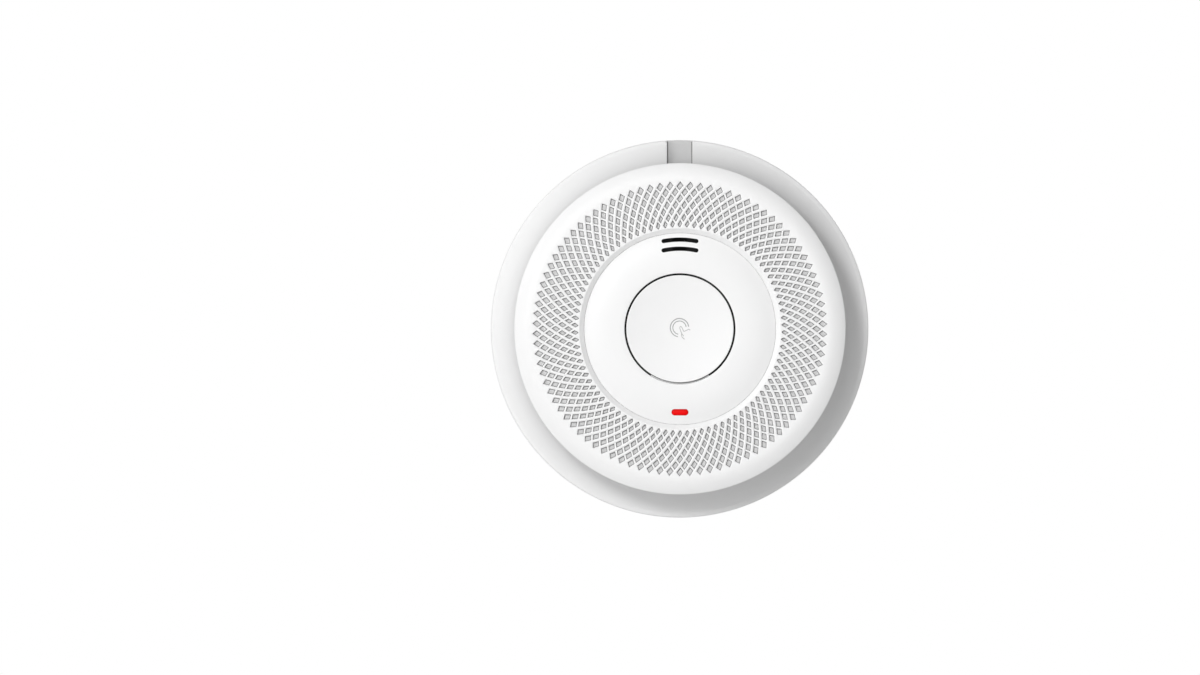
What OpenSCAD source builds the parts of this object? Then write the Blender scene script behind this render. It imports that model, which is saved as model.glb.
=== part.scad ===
// Round smoke and carbon monoxide alarm on a twist-off bracket.
//
// Every piece is drawn in the alarm's own frame, in millimetres. The wall is the plane z = 0, z runs
// out of the wall through the face, and y points to the index notch. on_wall() then stands a piece
// up, so that the notch is at the top (+Z) and the face looks along -Y. The origin is the centre of
// the bracket's back face.

/* [Housing] */
// Outside diameter of the rear housing's skirt
base_d = 135; // [130:1:165]
// Outside diameter of the front cover
cover_d = 118.2; // [117:0.1:121]
// Depth from the wall to the front face
depth = 45; // [44:0.5:54]
// Wall thickness of the two main mouldings
wall = 2; // [1.8:0.1:2.2]
// Height above the wall of the skirt's straight side
skirt_h = 12.6; // [11.6:0.2:14]
// Width of the index notch in the skirt
notch_w = 9.2; // [6:0.2:12]
// Height above the wall of the index notch's floor at the skirt
notch_floor = 10.4; // [10.2:0.1:11]
// How much of the slope's rise the index notch's floor follows
notch_rise = 0.7; // [0:0.1:0.8]

/* [Face] */
// Diameter of the centre plate
plate_d = 68.3; // [68:0.1:70]
// Thickness of the centre plate
plate_t = 2; // [1.6:0.1:2.2]
// How far the centre plate's rim lies below the front face
plate_drop = 1.3; // [0.8:0.1:1.6]
// Diameter of the test button
button_d = 38.3; // [32:0.1:40]
// Gap round the test button
button_gap = 0.6; // [0.5:0.1:1]
// How deep the button's top is dished
button_dish = 0.9; // [0.4:0.1:1.1]
// Angle of the shelf that closes the gap over the button's hinge
hinge_arc = 64; // [50:2:72]
// Width of the two sounder slots
slot_w = 1.5; // [1:0.1:2]
// Length of the two sounder slots
slot_l = 13.2; // [10:0.2:16]
// Length of the status lens
lens_l = 6.1; // [5:0.1:8]
// Width of the status lens
lens_w = 2.3; // [1.8:0.1:3]

/* [Vent grille] */
// Number of vents in a row
vent_count = 90; // [72:2:96]
// Number of rows of vents
vent_rows = 7; // [5:1:8]
// Radius where the ribs meet inside the innermost vents
vent_inner_r = 35.1; // [35.1:0.1:36.4]
// Width of the cover's plain shoulder outside the vents
shoulder_w = 6.2; // [6:0.1:8]
// Width of the main spiral ribs
main_rib = 1.05; // [0.8:0.05:1.3]
// Width of the cross ribs
cross_rib = 0.55; // [0.4:0.05:0.8]
// Thickness of the vent grille
grille_t = 1.6; // [1.2:0.1:2]

/* [Batteries] */
// Diameter of an AA cell
cell_d = 14.5; // [14:0.1:15]
// Length of an AA cell with its nub
cell_l = 50.5; // [49.5:0.1:50.5]
// Length of a battery spring under its cell
spring_l = 4.4; // [4:0.1:5.5]

/* [Bracket] */
// Thickness of the bracket's plate
bracket_t = 2.2; // [1.8:0.1:2.6]
// Radius of the opening in the bracket
bracket_open_r = 36; // [34.5:0.5:37]
// Distance between two opposite wall screws
screw_pitch = 88.9; // [86:0.1:92]
// Diameter of the holes for the wall screws
screw_hole_d = 4.4; // [4:0.1:5]
// Length of the slotted pair of screw holes
screw_slot_l = 8; // [6:0.5:8]

/* [Board] */
// Thickness of the circuit board
board_t = 1.6; // [1.2:0.2:1.6]
// Diameter of the optical chamber
chamber_d = 38; // [34:1:40]
// Diameter of the carbon monoxide cell
gas_cell_d = 17.5; // [14:0.5:18]
// Height of the carbon monoxide cell
gas_cell_h = 11.5; // [8:0.5:12]
// Diameter of the sounder's brass disc
piezo_d = 27; // [20:1:29]

/* [Hidden] */
$fn = 64;

// Clearances
fit = 0.3;           // between two mouldings that register on each other
slip = 0.2;          // between pieces that slide past each other
pivot_slip = 0.05;   // between a hinge pin and its bearing, on the radius
touch = 0.01;        // how far a cutter runs past the face that it opens
bite = 0.5;          // how far a rib or boss runs into the wall that it grows from

// Radii of the mouldings
base_r = base_d / 2;
cover_r = cover_d / 2;
cover_in_r = cover_r - wall;
base_in_r = base_r - wall;
lip_r = cover_in_r - fit;
lip_t = 1.6;
lip_in_r = lip_r - lip_t;

// Bayonet: three lugs in the skirt turn behind three lugs on the bracket
lug_count = 3;
lug_t = 1.8;
lug_gap = 0.3;
lug_rest_z = 1.2;
lug_arc = 14;
lug_stop_arc = 2;
lug_stop_gap = 0.4;
lug_first = 20;
lug_reach = 3.4;
bracket_lug_z = lug_rest_z + lug_t + lug_gap;
bracket_lug_top = bracket_lug_z + lug_t;
bracket_lug_r = base_in_r - 0.9;
base_lug_r = bracket_lug_r - lug_reach;
bracket_r = base_lug_r - 1;
bracket_rim_t = 2;

// Heights in the rear housing
skirt_z = 0.8;
floor_t = 2;
screw_head_room = 2;
floor_z = bracket_lug_top + screw_head_room;
floor_top = floor_z + floor_t;
cell_gap = 0.35;
bay_wall = 1.4;
bay_top = floor_top + cell_d + 2 * cell_gap;
board_z = bay_top + bay_wall + 0.4;
board_top = board_z + board_t;
seat_z = board_z - 4.5;
cover_gap = 0.5;
lip_top = board_z + 1.9;
shelf_w = 2.4;
shelf_t = 1.8;

// Battery bay: two cells lie side by side along x
contact_t = 0.4;
contact_h = 13;
tail_w = 1.2;
bay_l = cell_l + spring_l + 2 * contact_t + 2 * slip;
bay_w = 2 * cell_d + 3 * cell_gap;
cell_pitch = cell_d + cell_gap;
cell_z = floor_top + cell_gap + cell_d / 2;
// The spring takes up the slack at the -x end of a cell, so the cell sits towards the nub plate
cell_mid_x = spring_l / 2;
contact_x = bay_l / 2 - slip / 2 - contact_t / 2;

// Battery door and its hinge
door_t = 1.8;
door_edge = 1.1;
door_slip = 0.25;
door_barrel_r = 1.5;
door_pin_r = 1;
door_barrel_l = 40;
door_pin_l = 3.4;
door_hinge_y = -(bay_w / 2 + bay_wall + door_barrel_r + 0.6);
door_hinge_z = floor_z + door_barrel_r;
trough_r = door_barrel_r + 0.7;
trough_wall = 1.4;
door_top_y = bay_w / 2 + door_edge - door_slip;
tongue_w = 12;
tongue_l = 3;
tongue_t = 1.2;
finger_w = 18;
finger_l = 6;

// Housing screws
screw_count = 3;
screw_first = 30;
screw_r = 1.45;
screw_head_r = 2.5;
screw_head_t = 2.2;
screw_post_at = cover_in_r - 2.1;
base_post_r = 3.7;
cover_post_r = 2.9;
screw_seat_z = seat_z - 6.5;
post_seat_z = seat_z - 0.3;
screw_l = 16;
screw_clear = 0.25;

// Board screws stand in posts beside the battery bay
board_screw_r = 1.2;
board_post_r = 2.8;
board_post_at = [[38, 28], [-38, 28], [-7, -44]];
board_screw_l = 8;
board_r = lip_in_r - fit;

// Front cover
face_z = depth;
shoulder_r = 12;
shoulder_in_r = cover_r - shoulder_w;
cover_chamfer = 0.5;
ledge_t = 1.5;
ledge_w = 1.6;
plate_r = plate_d / 2;
recess_r = plate_r + fit;
recess_rim_r = recess_r + 1.4;
plate_rim_z = face_z - plate_drop;
ledge_z = plate_rim_z - plate_t;
ledge_in_r = recess_r - ledge_w;
ring_in_r = recess_rim_r + 0.4;
vent_outer_r = shoulder_in_r + 0.35;
shoulder_bite = 0.1;
ceiling_z = face_z - grille_t;

// Button and its hinge
button_r = button_d / 2;
button_hole_r = button_r + button_gap;
plate_flat_r = button_hole_r + 2.2;
button_t = 2;
button_under_z = face_z - button_dish - button_t + 0.5;
shelf_reach = button_gap - 0.15;
hinge_shelf_z = face_z - plate_t - 0.2;
hinge_shelf_t = 1;
button_barrel_r = 1.3;
button_pin_r = 0.8;
button_barrel_l = 14;
button_pin_l = 2.6;
button_hinge_y = -(button_hole_r + 3);
web_t = 1.2;
web_top = hinge_shelf_z - 0.5;
button_hinge_z = web_top - button_barrel_r;
bearing_l = 2.4;

// Shroud under the centre plate
shroud_t = 1.4;
shroud_top = button_hinge_z - button_barrel_r - 0.4;
shroud_z = shroud_top - shroud_t;
shroud_r = recess_r + 0.6;
stake_at = [[27, 20], [27, 160], [27, 205], [27, 335]];
stake_r = 2;
stake_pin_r = 1.1;
stake_slip = 0.05;

// Sounder slots
slot_radii = [plate_r - 5.6, plate_r - 2.35];

// Insect screen behind the vents
screen_t = 0.5;
screen_in_r = ring_in_r + fit;
screen_out_r = cover_in_r - 2.6;

// Status lens and light pipe
lens_y = -(plate_r - 4.4);
lens_gap = 0.1;
pipe_r = 1.7;
pipe_flange_t = 0.8;
led_h = 1.4;

// Test switch
switch_size = 6;
switch_body_h = 3.4;
switch_top = board_top + 5;
plunger_r = 1.75;
rib_r = 2;
rib_gap = 0.06;

// Optical chamber
chamber_at = [-23, -19];
chamber_r = chamber_d / 2;
chamber_floor_t = 2;
chamber_roof_t = 1.4;
chamber_top = shroud_z - 1.2;
chamber_in_z = board_top + chamber_floor_t;
chamber_roof_z = chamber_top - chamber_roof_t;
vane_count = 24;
vane_t = 0.8;
vane_l = 2.6;
mesh_t = 0.3;
optic_r = 1.5;
optic_l = 5.4;
optic_z = (chamber_in_z + chamber_roof_z) / 2;
holder_w = 5;
holder_l = 6;
holder_at = chamber_r - 8.2;
emitter_turn = 200;
receiver_turn = 340;

// Carbon monoxide cell
gas_at = [40.5, -19];
gas_r = gas_cell_d / 2;
gas_lift = 0.6;
gas_cap_t = 1.4;
gas_inlet_r = 1.6;
gas_pin_r = 0.5;
gas_pin_turns = [90, 210, 330];

// Sounder
sounder_at = [0, 27];
piezo_r = piezo_d / 2;
piezo_t = 0.3;
ceramic_t = 0.25;
sounder_wall = 1.8;
sounder_r = piezo_r + fit + sounder_wall;
sounder_cup_h = 4;
sounder_step_w = 1.2;
sounder_step_z = board_top + 2.6;
sounder_cap_t = 1.4;
sounder_port_r = 2.6;
duct_wall = 1.2;
gasket_t = 0.8;
gauze_t = 0.3;
gasket_z = board_top + sounder_cup_h + sounder_cap_t;
duct_z = gasket_z + gasket_t;
duct_size = [17, 6.4];
duct_at = [0, 30.2];
port_at = [0, duct_at[1] - sounder_at[1]];

// Places on the board
chip_at = [25, 0];
chip_size = [9, 9, 1.4];
amp_at = [-30, 6];
amp_size = [5, 6.2, 1.6];
radio_at = [38, 14];
radio_size = [12, 16, 1];
shield_h = 2.4;
antenna_at = [-36, 16];
coil_at = [-20, 12];
coil_size = [7, 7, 4.4];
cap_at = [[16, 8], [16, -33]];
cap_r = 3.15;
cap_h = 9;
small_at = [[-12, 8], [-12, 4], [-12, 0], [12, -8], [12, -12], [20, -9], [24, -38], [6, -38], [8, -24]];

function turn(r, a) = [r * cos(a), r * sin(a)];

// Points of a circular arc about (x, y), from angle a to angle b
function arc(x, y, r, a, b, n) = [for (i = [0:n]) [x, y] + turn(r, a + (b - a) * i / n)];

// The skirt's hollow slope: a quarter of an ellipse from the skirt's edge up to the cover's seat
function cove(n) = let (r0 = base_r - 0.7, r1 = cover_r - 0.2, z0 = skirt_h, z1 = seat_z, a0 = 12, a1 = 80)
    [for (i = [0:n]) let (a = a0 + (a1 - a0) * i / n) [
        r0 + (r1 - r0) * (sin(a) - sin(a0)) / (sin(a1) - sin(a0)),
        z0 + (z1 - z0) * (cos(a0) - cos(a)) / (cos(a0) - cos(a1))
    ]];

// Height of the centre plate's top: flat in the middle, then falling to its rim
function plate_top(r) = face_z - 0.1 - (plate_drop - 0.1)
    * pow(max(0, (r - plate_flat_r) / (plate_r - plate_flat_r)), 3);

// Height of the button's dished top
function button_top(r) = face_z - 0.1 - button_dish * (1 - pow(r / button_r, 2));

module on_wall() {
    rotate([90, 0, 0]) children();
}

// Copies of the children at every housing screw
module at_screws() {
    for (i = [0:screw_count - 1])
        rotate(screw_first + i * 360 / screw_count)
            translate([screw_post_at, 0, 0]) children();
}

module at_board_posts() {
    for (p = board_post_at) translate(p) children();
}

module ring(r, r_in, h) {
    difference() {
        cylinder(r = r, h = h);
        translate([0, 0, -touch]) cylinder(r = r_in, h = h + 2 * touch);
    }
}

// Part of a ring, from angle a through an arc
module ring_part(r_in, r, h, a, sweep) {
    rotate(a) rotate_extrude(angle = sweep) translate([r_in, 0]) square([r - r_in, h]);
}

module box(size, at) {
    translate([at[0] - size[0] / 2, at[1] - size[1] / 2, at[2]]) cube(size);
}

// A slot that follows a circle of radius r from angle a to angle b, with round ends, as one outline
module arc_slot(r, w, a, b, h) {
    half = w / 2;
    end = turn(r, b);
    start = turn(r, a);
    linear_extrude(h) polygon(concat(
        arc(0, 0, r + half, a, b, 10),
        arc(end[0], end[1], half, b + 20, b + 160, 7),
        arc(0, 0, r - half, b, a, 10),
        arc(start[0], start[1], half, a + 200, a + 340, 7)
    ));
}

// Solid of a stadium, written as one outline so that its sides and ends meet truly
module stadium(l, w, h) {
    linear_extrude(h) union() {
        translate([-(l - w) / 2, 0]) circle(w / 2);
        translate([(l - w) / 2, 0]) circle(w / 2);
        square([l - w, w], center = true);
    }
}

// ---------------------------------------------------------------- bracket

module mounting_bracket() {
    color("white") difference() {
        union() {
            ring(bracket_r, bracket_open_r, bracket_t);
            ring(bracket_r, bracket_r - bracket_rim_t, bracket_lug_top - 0.5);
            ring(bracket_open_r + 1.6, bracket_open_r, bracket_lug_top - 0.8);
            bracket_ribs();
            bracket_lugs();
        }
        wall_screw_holes();
    }
}

module bracket_ribs() {
    rib_t = 1.4;
    for (a = [22.5:45:337.5])
        rotate(a) translate([bracket_open_r + 1, -rib_t / 2, 0])
            cube([bracket_r - bracket_rim_t - bracket_open_r, rib_t, bracket_lug_top - 1.6]);
}

module bracket_lugs() {
    hang = lug_stop_arc + lug_stop_gap;
    for (i = [0:lug_count - 1]) {
        a = lug_first + i * 360 / lug_count;
        translate([0, 0, bracket_lug_z])
            ring_part(bracket_r - bite, bracket_lug_r, lug_t, a - hang, lug_arc + hang + 1.6);
        ring_part(bracket_r - bite, bracket_lug_r, bracket_lug_z + touch, a - hang, lug_stop_arc);
    }
}

module wall_screw_holes() {
    drill = bracket_lug_top + 2 * touch;
    for (s = [-1, 1]) {
        translate([s * screw_pitch / 2, 0, -touch]) stadium(screw_slot_l, screw_hole_d, drill);
        translate([0, s * screw_pitch / 2, -touch]) cylinder(d = screw_hole_d, h = drill);
    }
    for (a = [45:90:315])
        translate([0, 0, -touch]) arc_slot(screw_pitch / 2 + 2, screw_hole_d, a - 12, a + 12, drill);
}

// ---------------------------------------------------------------- rear housing

module rear_housing() {
    color("white") difference() {
        union() {
            difference() {
                rotate_extrude() housing_outline();
                rotate_extrude() housing_hollow();
            }
            notch_pocket();
            bay_shell();
            hinge_trough();
            finger_pad();
            for (i = [0:lug_count - 1])
                translate([0, 0, lug_rest_z])
                    ring_part(base_lug_r, base_in_r + bite, lug_t, lug_first + i * 360 / lug_count, lug_arc);
            at_screws() translate([0, 0, floor_z]) cylinder(r = base_post_r, h = seat_z - floor_z);
            at_board_posts() translate([0, 0, floor_z + 1]) cylinder(r = board_post_r, h = board_z - floor_z - 1);
        }
        index_notch(0);
        bay_hollow();
        at_screws() screw_bore();
        at_board_posts() translate([0, 0, board_z - board_screw_l])
            cylinder(r = board_screw_r + 0.02, h = board_screw_l + touch);
    }
}

// Way for a housing screw and its head, with a seat for the cover's post at the top
module screw_bore() {
    head = screw_head_r + screw_clear;
    shaft = screw_r + screw_clear;
    post = cover_post_r + fit;
    rotate_extrude() polygon([
        [0, floor_z - 1], [head, floor_z - 1], [head, screw_seat_z], [shaft, screw_seat_z],
        [shaft, post_seat_z], [post, post_seat_z], [post, lip_top + 1], [0, lip_top + 1]
    ]);
}

module housing_outline() {
    polygon(concat(
        [[0, floor_z], [base_in_r, floor_z], [base_in_r, skirt_z], [base_r, skirt_z], [base_r, skirt_h - 0.7]],
        cove(12),
        [[lip_r, seat_z], [lip_r, lip_top], [lip_in_r, lip_top], [0, lip_top]]
    ));
}

// Inside of the rear housing: a straight side, a slope under the cove, a shelf for the board, then the lip
module housing_hollow() {
    shelf_r = lip_in_r - shelf_w;
    polygon([
        [0, floor_top], [base_in_r, floor_top], [base_in_r, skirt_h - 2], [lip_r, seat_z - 2],
        [lip_in_r - 0.2, seat_z], [shelf_r, board_z - shelf_t], [shelf_r, board_z],
        [lip_in_r, board_z], [lip_in_r, lip_top + 1], [0, lip_top + 1]
    ]);
}

// The space of the index notch, grown by g on its sides and floor. Its floor rises towards the cover
module index_notch(g) {
    slope = [for (p = cove(12)) [p[0], notch_floor + (p[1] - skirt_h) * notch_rise - g]];
    end = slope[12];
    intersection() {
        translate([-notch_w / 2 - g, cover_r - 0.4 - g, 0]) cube([notch_w + 2 * g, base_r, seat_z + 2]);
        rotate_extrude() polygon(concat(
            [[base_r + 1, seat_z + 1], [base_r + 1, slope[0][1]]], slope,
            [[cover_r - 6, end[1]], [cover_r - 6, seat_z + 1]]
        ));
    }
}

module notch_pocket() {
    intersection() {
        index_notch(wall);
        rotate_extrude() housing_outline();
    }
}

module bay_shell() {
    box([bay_l + 2 * bay_wall, bay_w + 2 * bay_wall, bay_top + bay_wall - floor_z], [0, 0, floor_z]);
}

module bay_hollow() {
    box([bay_l, bay_w, bay_top - floor_z + touch], [0, 0, floor_z - touch]);
    translate([-bay_l / 2 - door_edge, door_hinge_y, floor_z - touch])
        cube([bay_l + 2 * door_edge, door_top_y + door_slip - door_hinge_y, floor_t + touch]);
    box([finger_w, finger_l, floor_t + touch], [0, door_top_y + door_slip + finger_l / 2 - bite, floor_z - touch]);
    hinge_bore();
    tail_slots(bay_top - touch, bay_wall + 2 * touch);
}

// The terminals' tails pass through the bay's roof and the board
module tail_slots(z, h) {
    for (t = [-1, 1])
        box([contact_t + 2 * slip, tail_w + 2 * slip, h], [contact_x, t * cell_pitch / 2, z]);
}

// Box over the door's hinge, which keeps the trough closed on the inside and holds both bearings
module hinge_trough() {
    l = door_barrel_l + 2 * door_pin_l + 3;
    box([l, 2 * (trough_r + trough_wall), trough_r + door_barrel_r + trough_wall], [0, door_hinge_y, floor_z]);
}

module hinge_bore() {
    l = door_barrel_l + 2 * slip;
    translate([0, door_hinge_y, door_hinge_z]) {
        rotate([0, 90, 0]) cylinder(r = trough_r, h = l, center = true);
        rotate([0, 90, 0]) cylinder(r = door_pin_r + pivot_slip, h = l + 2 * door_pin_l + 0.4, center = true);
        translate([-l / 2, -trough_r, -door_barrel_r - touch]) cube([l, 2 * trough_r, door_barrel_r + touch]);
    }
}

// The floor is thicker behind the finger recess
module finger_pad() {
    box([finger_w + 3, finger_l + 3, floor_t + 1.6], [0, door_top_y + finger_l / 2, floor_z]);
}

// ---------------------------------------------------------------- front

module front_cover() {
    color("white") difference() {
        union() {
            rotate_extrude() cover_section();
            translate([0, 0, ceiling_z]) linear_extrude(grille_t) grille_outline();
            at_screws() translate([0, 0, post_seat_z + 0.05])
                cylinder(r = cover_post_r, h = ceiling_z - 2.4 - post_seat_z);
        }
        at_screws() translate([0, 0, post_seat_z]) cylinder(r = screw_r + 0.03, h = screw_l - 5);
    }
}

// The cover's wall, shoulder and the two rings that carry the grille, as one outline
module cover_section() {
    shoulder_end = asin(shoulder_w / shoulder_r);
    rim_z = face_z - shoulder_r * (1 - cos(shoulder_end));
    polygon(concat(
        [[cover_in_r, seat_z + cover_gap], [cover_r, seat_z + cover_gap], [cover_r, rim_z - cover_chamfer]],
        arc(shoulder_in_r, face_z - shoulder_r, shoulder_r, 90 - shoulder_end + 3, 90, 8),
        [[shoulder_in_r - shoulder_bite, face_z], [shoulder_in_r - shoulder_bite, ceiling_z], [cover_in_r - 1.8, ceiling_z],
         [cover_in_r, ceiling_z - 1.6]]
    ));
    polygon([
        [ring_in_r, face_z], [recess_rim_r, face_z], [recess_r, plate_rim_z], [recess_r, ledge_z],
        [ledge_in_r, ledge_z], [ledge_in_r, ledge_z - ledge_t], [ring_in_r, ledge_z - ledge_t]
    ]);
}

// Vents lie on two families of spirals. In the lattice of the spirals, u counts across the main ribs
// and v across the cross ribs; a vent is the square |u - u0|, |v - v0| < 1, less half a rib all round.
module grille_outline() {
    difference() {
        circle(shoulder_in_r);
        circle(ring_in_r - 0.2);
        for (row = [0:vent_rows - 1], i = [0:vent_count - 1]) vent(row, (i + row % 2 / 2) * 360 / vent_count + 90);
    }
}

module vent(row, a) {
    row_pitch = (vent_outer_r - vent_inner_r) / (vent_rows + 1);
    half_step = 180 / vent_count;
    r = vent_outer_r - (row + 1) * row_pitch;
    half_w = r * tan(half_step);
    across = 2 * row_pitch * half_w / norm([row_pitch, half_w]);
    u = 1 - main_rib / across;
    v = 1 - cross_rib / across;
    polygon([for (c = [[u, v], [-u, v], [-u, -v], [u, -v]])
        turn(r + (c[0] - c[1]) / 2 * row_pitch, a + (c[0] + c[1]) / 2 * half_step)]);
}

module centre_plate() {
    color("white") difference() {
        union() {
            rotate_extrude() plate_section();
            hinge_shelf();
            for (s = stake_at) rotate(s[1]) translate([s[0], 0, 0]) stake();
        }
        for (r = slot_radii) sounder_slot(r);
        translate([0, lens_y, ledge_z - 1]) stadium(lens_l, lens_w, plate_t + plate_drop + 1);
    }
}

// Flat round the button, then falling to the rim, with the same thickness all over
module plate_section() {
    steps = 10;
    rs = [for (i = [0:steps]) plate_flat_r + (plate_r - plate_flat_r) * i / steps];
    polygon(concat(
        [[button_hole_r, plate_top(button_hole_r)]],
        [for (r = rs) [r, plate_top(r)]],
        [for (i = [steps:-1:0]) [rs[i], plate_top(rs[i]) - plate_t]],
        [[button_hole_r, plate_top(button_hole_r) - plate_t]]
    ));
}

// Closes the gap where the button's hinge passes under the plate
module hinge_shelf() {
    translate([0, 0, hinge_shelf_z])
        ring_part(button_hole_r - shelf_reach, button_hole_r + bite, hinge_shelf_t, 270 - hinge_arc / 2, hinge_arc);
}

module sounder_slot(r) {
    half = asin((slot_l - slot_w) / 2 / r);
    translate([0, 0, ledge_z - 1]) arc_slot(r, slot_w, 90 - half, 90 + half, plate_t + plate_drop + 1);
}

// A post that the shroud is staked to
module stake() {
    top = plate_top(stake_at[0][0]) - plate_t + bite;
    translate([0, 0, shroud_top]) cylinder(r = stake_r, h = top - shroud_top);
    translate([0, 0, shroud_z - 0.6]) cylinder(r = stake_pin_r, h = top - shroud_z);
}

module insect_screen() {
    color("gainsboro") translate([0, 0, ceiling_z - screen_t]) ring(screen_out_r, screen_in_r, screen_t);
}

// Black plate that keeps light out, ducts the sounder to its slots and carries the button's bearings
module inner_shroud() {
    color("black") difference() {
        union() {
            translate([0, 0, shroud_z]) cylinder(r = shroud_r, h = shroud_t);
            for (s = [-1, 1]) bearing_block(s);
            duct_wall_part();
        }
        translate([0, 0, shroud_z - touch]) cylinder(r = rib_r + 2, h = shroud_t + 2 * touch);
        translate([0, lens_y, shroud_z - touch]) cylinder(r = pipe_r + fit, h = shroud_t + 2 * touch);
        box([duct_size[0], duct_size[1], shroud_top - board_top], [duct_at[0], duct_at[1], board_top + touch]);
        for (s = stake_at) rotate(s[1]) translate([s[0], 0, shroud_z - touch])
            cylinder(r = stake_pin_r + stake_slip, h = shroud_t + 2 * touch);
        translate([0, button_hinge_y, button_hinge_z]) rotate([0, 90, 0])
            cylinder(r = button_pin_r + pivot_slip, h = 2 * (button_barrel_l + button_pin_l), center = true);
    }
}

module bearing_block(s) {
    inner = button_barrel_l / 2 + slip;
    translate([s > 0 ? inner : -inner - bearing_l, button_hinge_y - 1.8, shroud_top - touch])
        cube([bearing_l, 3.6, button_hinge_z + 1.7 - shroud_top]);
}

// Chimney from the shroud down to the sounder's gasket, clipped to the shroud's own circle
module duct_wall_part() {
    intersection() {
        box([duct_size[0] + 2 * duct_wall, duct_size[1] + 2 * duct_wall, shroud_z - duct_z + touch],
            [duct_at[0], duct_at[1], duct_z]);
        translate([0, 0, duct_z - 1]) cylinder(r = shroud_r, h = shroud_top);
    }
}

module light_pipe() {
    lens_r = abs(lens_y);
    under = plate_top(lens_r + lens_w / 2) - plate_t;
    color("red") translate([0, lens_y, 0]) {
        translate([0, 0, under - touch])
            stadium(lens_l - 2 * lens_gap, lens_w - 2 * lens_gap, plate_top(lens_r) - under - 0.1);
        translate([0, 0, under - 0.3 - pipe_flange_t]) stadium(lens_l + 1.6, lens_w + 1.6, pipe_flange_t + 0.1);
        translate([0, 0, under - 0.3]) stadium(lens_l - 2 * lens_gap, lens_w - 2 * lens_gap, 0.5);
        translate([0, 0, board_top + led_h + 0.2]) cylinder(r = pipe_r, h = under - board_top - led_h - 0.4);
    }
}

// ---------------------------------------------------------------- button and switch

module test_button() {
    steps = 10;
    tip = switch_top + rib_gap;
    color("white") union() {
        rotate_extrude() polygon(concat(
            [[0, button_under_z]],
            [[button_r, button_under_z]],
            [for (i = [steps:-1:0]) [button_r * i / steps, button_top(button_r * i / steps)]]
        ));
        translate([0, 0, tip + rib_r]) cylinder(r = rib_r, h = button_under_z - tip - rib_r + touch);
        translate([0, 0, tip + rib_r]) sphere(rib_r);
        button_web();
        translate([0, button_hinge_y, button_hinge_z]) rotate([0, 90, 0]) {
            cylinder(r = button_barrel_r, h = button_barrel_l, center = true);
            cylinder(r = button_pin_r, h = button_barrel_l + 2 * button_pin_l, center = true);
        }
    }
}

// Arm under the plate that joins the button to its hinge
module button_web() {
    reach = 6;
    translate([0, 0, web_top - web_t]) {
        translate([-button_barrel_l / 2, button_hinge_y, 0])
            cube([button_barrel_l, button_hole_r + 3 - button_r + reach, web_t]);
        translate([-button_barrel_l / 2, -button_r + 1.2, 0])
            cube([button_barrel_l, reach - 1.8, button_under_z - web_top + web_t + touch]);
    }
}

module switch_body() {
    color("dimgray") difference() {
        box([switch_size, switch_size, switch_body_h], [0, 0, board_top]);
        translate([0, 0, board_top + 1.2]) cylinder(r = plunger_r + 0.05, h = switch_body_h);
    }
}

module switch_plunger() {
    color("black") translate([0, 0, board_top + 2.2]) cylinder(r = plunger_r, h = switch_top - board_top - 2.2);
}

// ---------------------------------------------------------------- board

module main_board() {
    color("green") difference() {
        translate([0, 0, board_z]) cylinder(r = board_r, h = board_t);
        translate([0, 0, board_z - touch]) {
            at_screws() cylinder(r = cover_post_r + 0.4, h = board_t + 2 * touch);
            at_board_posts() cylinder(r = board_screw_r + 0.15, h = board_t + 2 * touch);
            for (a = gas_pin_turns) translate(gas_at + turn(gas_r - 4, a))
                cylinder(r = gas_pin_r + 0.1, h = board_t + 2 * touch);
        }
        tail_slots(board_z - touch, board_t + 2 * touch);
    }
}

module screw(r, head_r, head_t, l) {
    translate([0, 0, -head_t]) difference() {
        union() {
            cylinder(r = head_r, h = head_t);
            cylinder(r = r, h = l + head_t);
        }
        for (a = [0, 90]) rotate(a) box([head_r * 1.3, head_r * 0.26, head_t * 0.55], [0, 0, -touch]);
    }
}

module housing_screws() {
    color("silver") at_screws() translate([0, 0, screw_seat_z]) screw(screw_r, screw_head_r, screw_head_t, screw_l);
}

module board_screws() {
    color("silver") at_board_posts() translate([0, 0, board_top]) mirror([0, 0, 1])
        screw(board_screw_r, 2.3, 1.6, board_screw_l);
}

// ---------------------------------------------------------------- optical chamber

module at_chamber() {
    translate([chamber_at[0], chamber_at[1], 0]) children();
}

// Puts a lamp or sensor in its holder, looking at the middle of the chamber
module at_optic(a) {
    at_chamber() rotate(a) translate([holder_at, 0, optic_z]) rotate([0, -90, 0]) children();
}

module chamber_base() {
    color("black") difference() {
        union() {
            at_chamber() translate([0, 0, board_top]) cylinder(r = chamber_r, h = chamber_floor_t);
            for (a = [emitter_turn, receiver_turn]) at_chamber() rotate(a)
                box([holder_l, holder_w, chamber_roof_z - 0.2 - board_top - 1], [holder_at, 0, board_top + 1]);
            at_chamber() rotate(90) box([1, 8, chamber_roof_z - 1 - board_top - 1], [-5, 0, board_top + 1]);
        }
        for (a = [emitter_turn, receiver_turn]) at_optic(a)
            cylinder(r = optic_r + 0.1, h = 2 * holder_l, center = true);
    }
}

// Roof with a ring of bent vanes, which let air in and keep light out
module chamber_cover() {
    color("black") at_chamber() {
        translate([0, 0, chamber_roof_z]) cylinder(r = chamber_r, h = chamber_roof_t);
        for (i = [0:vane_count - 1]) rotate(i * 360 / vane_count) translate([chamber_r - 2.4, 0, chamber_in_z + 0.1])
            linear_extrude(chamber_roof_z - chamber_in_z) polygon([
                [-vane_l / 2, vane_l / 2], [0, -vane_t / 2], [vane_l / 2, vane_l / 2],
                [vane_l / 2, vane_l / 2 + vane_t], [0, vane_t / 2], [-vane_l / 2, vane_l / 2 + vane_t]
            ]);
    }
}

module chamber_mesh() {
    color("silver") at_chamber() translate([0, 0, board_top + 0.2])
        ring(chamber_r + 0.1 + mesh_t, chamber_r + 0.1, chamber_top - board_top - 0.4);
}

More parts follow.
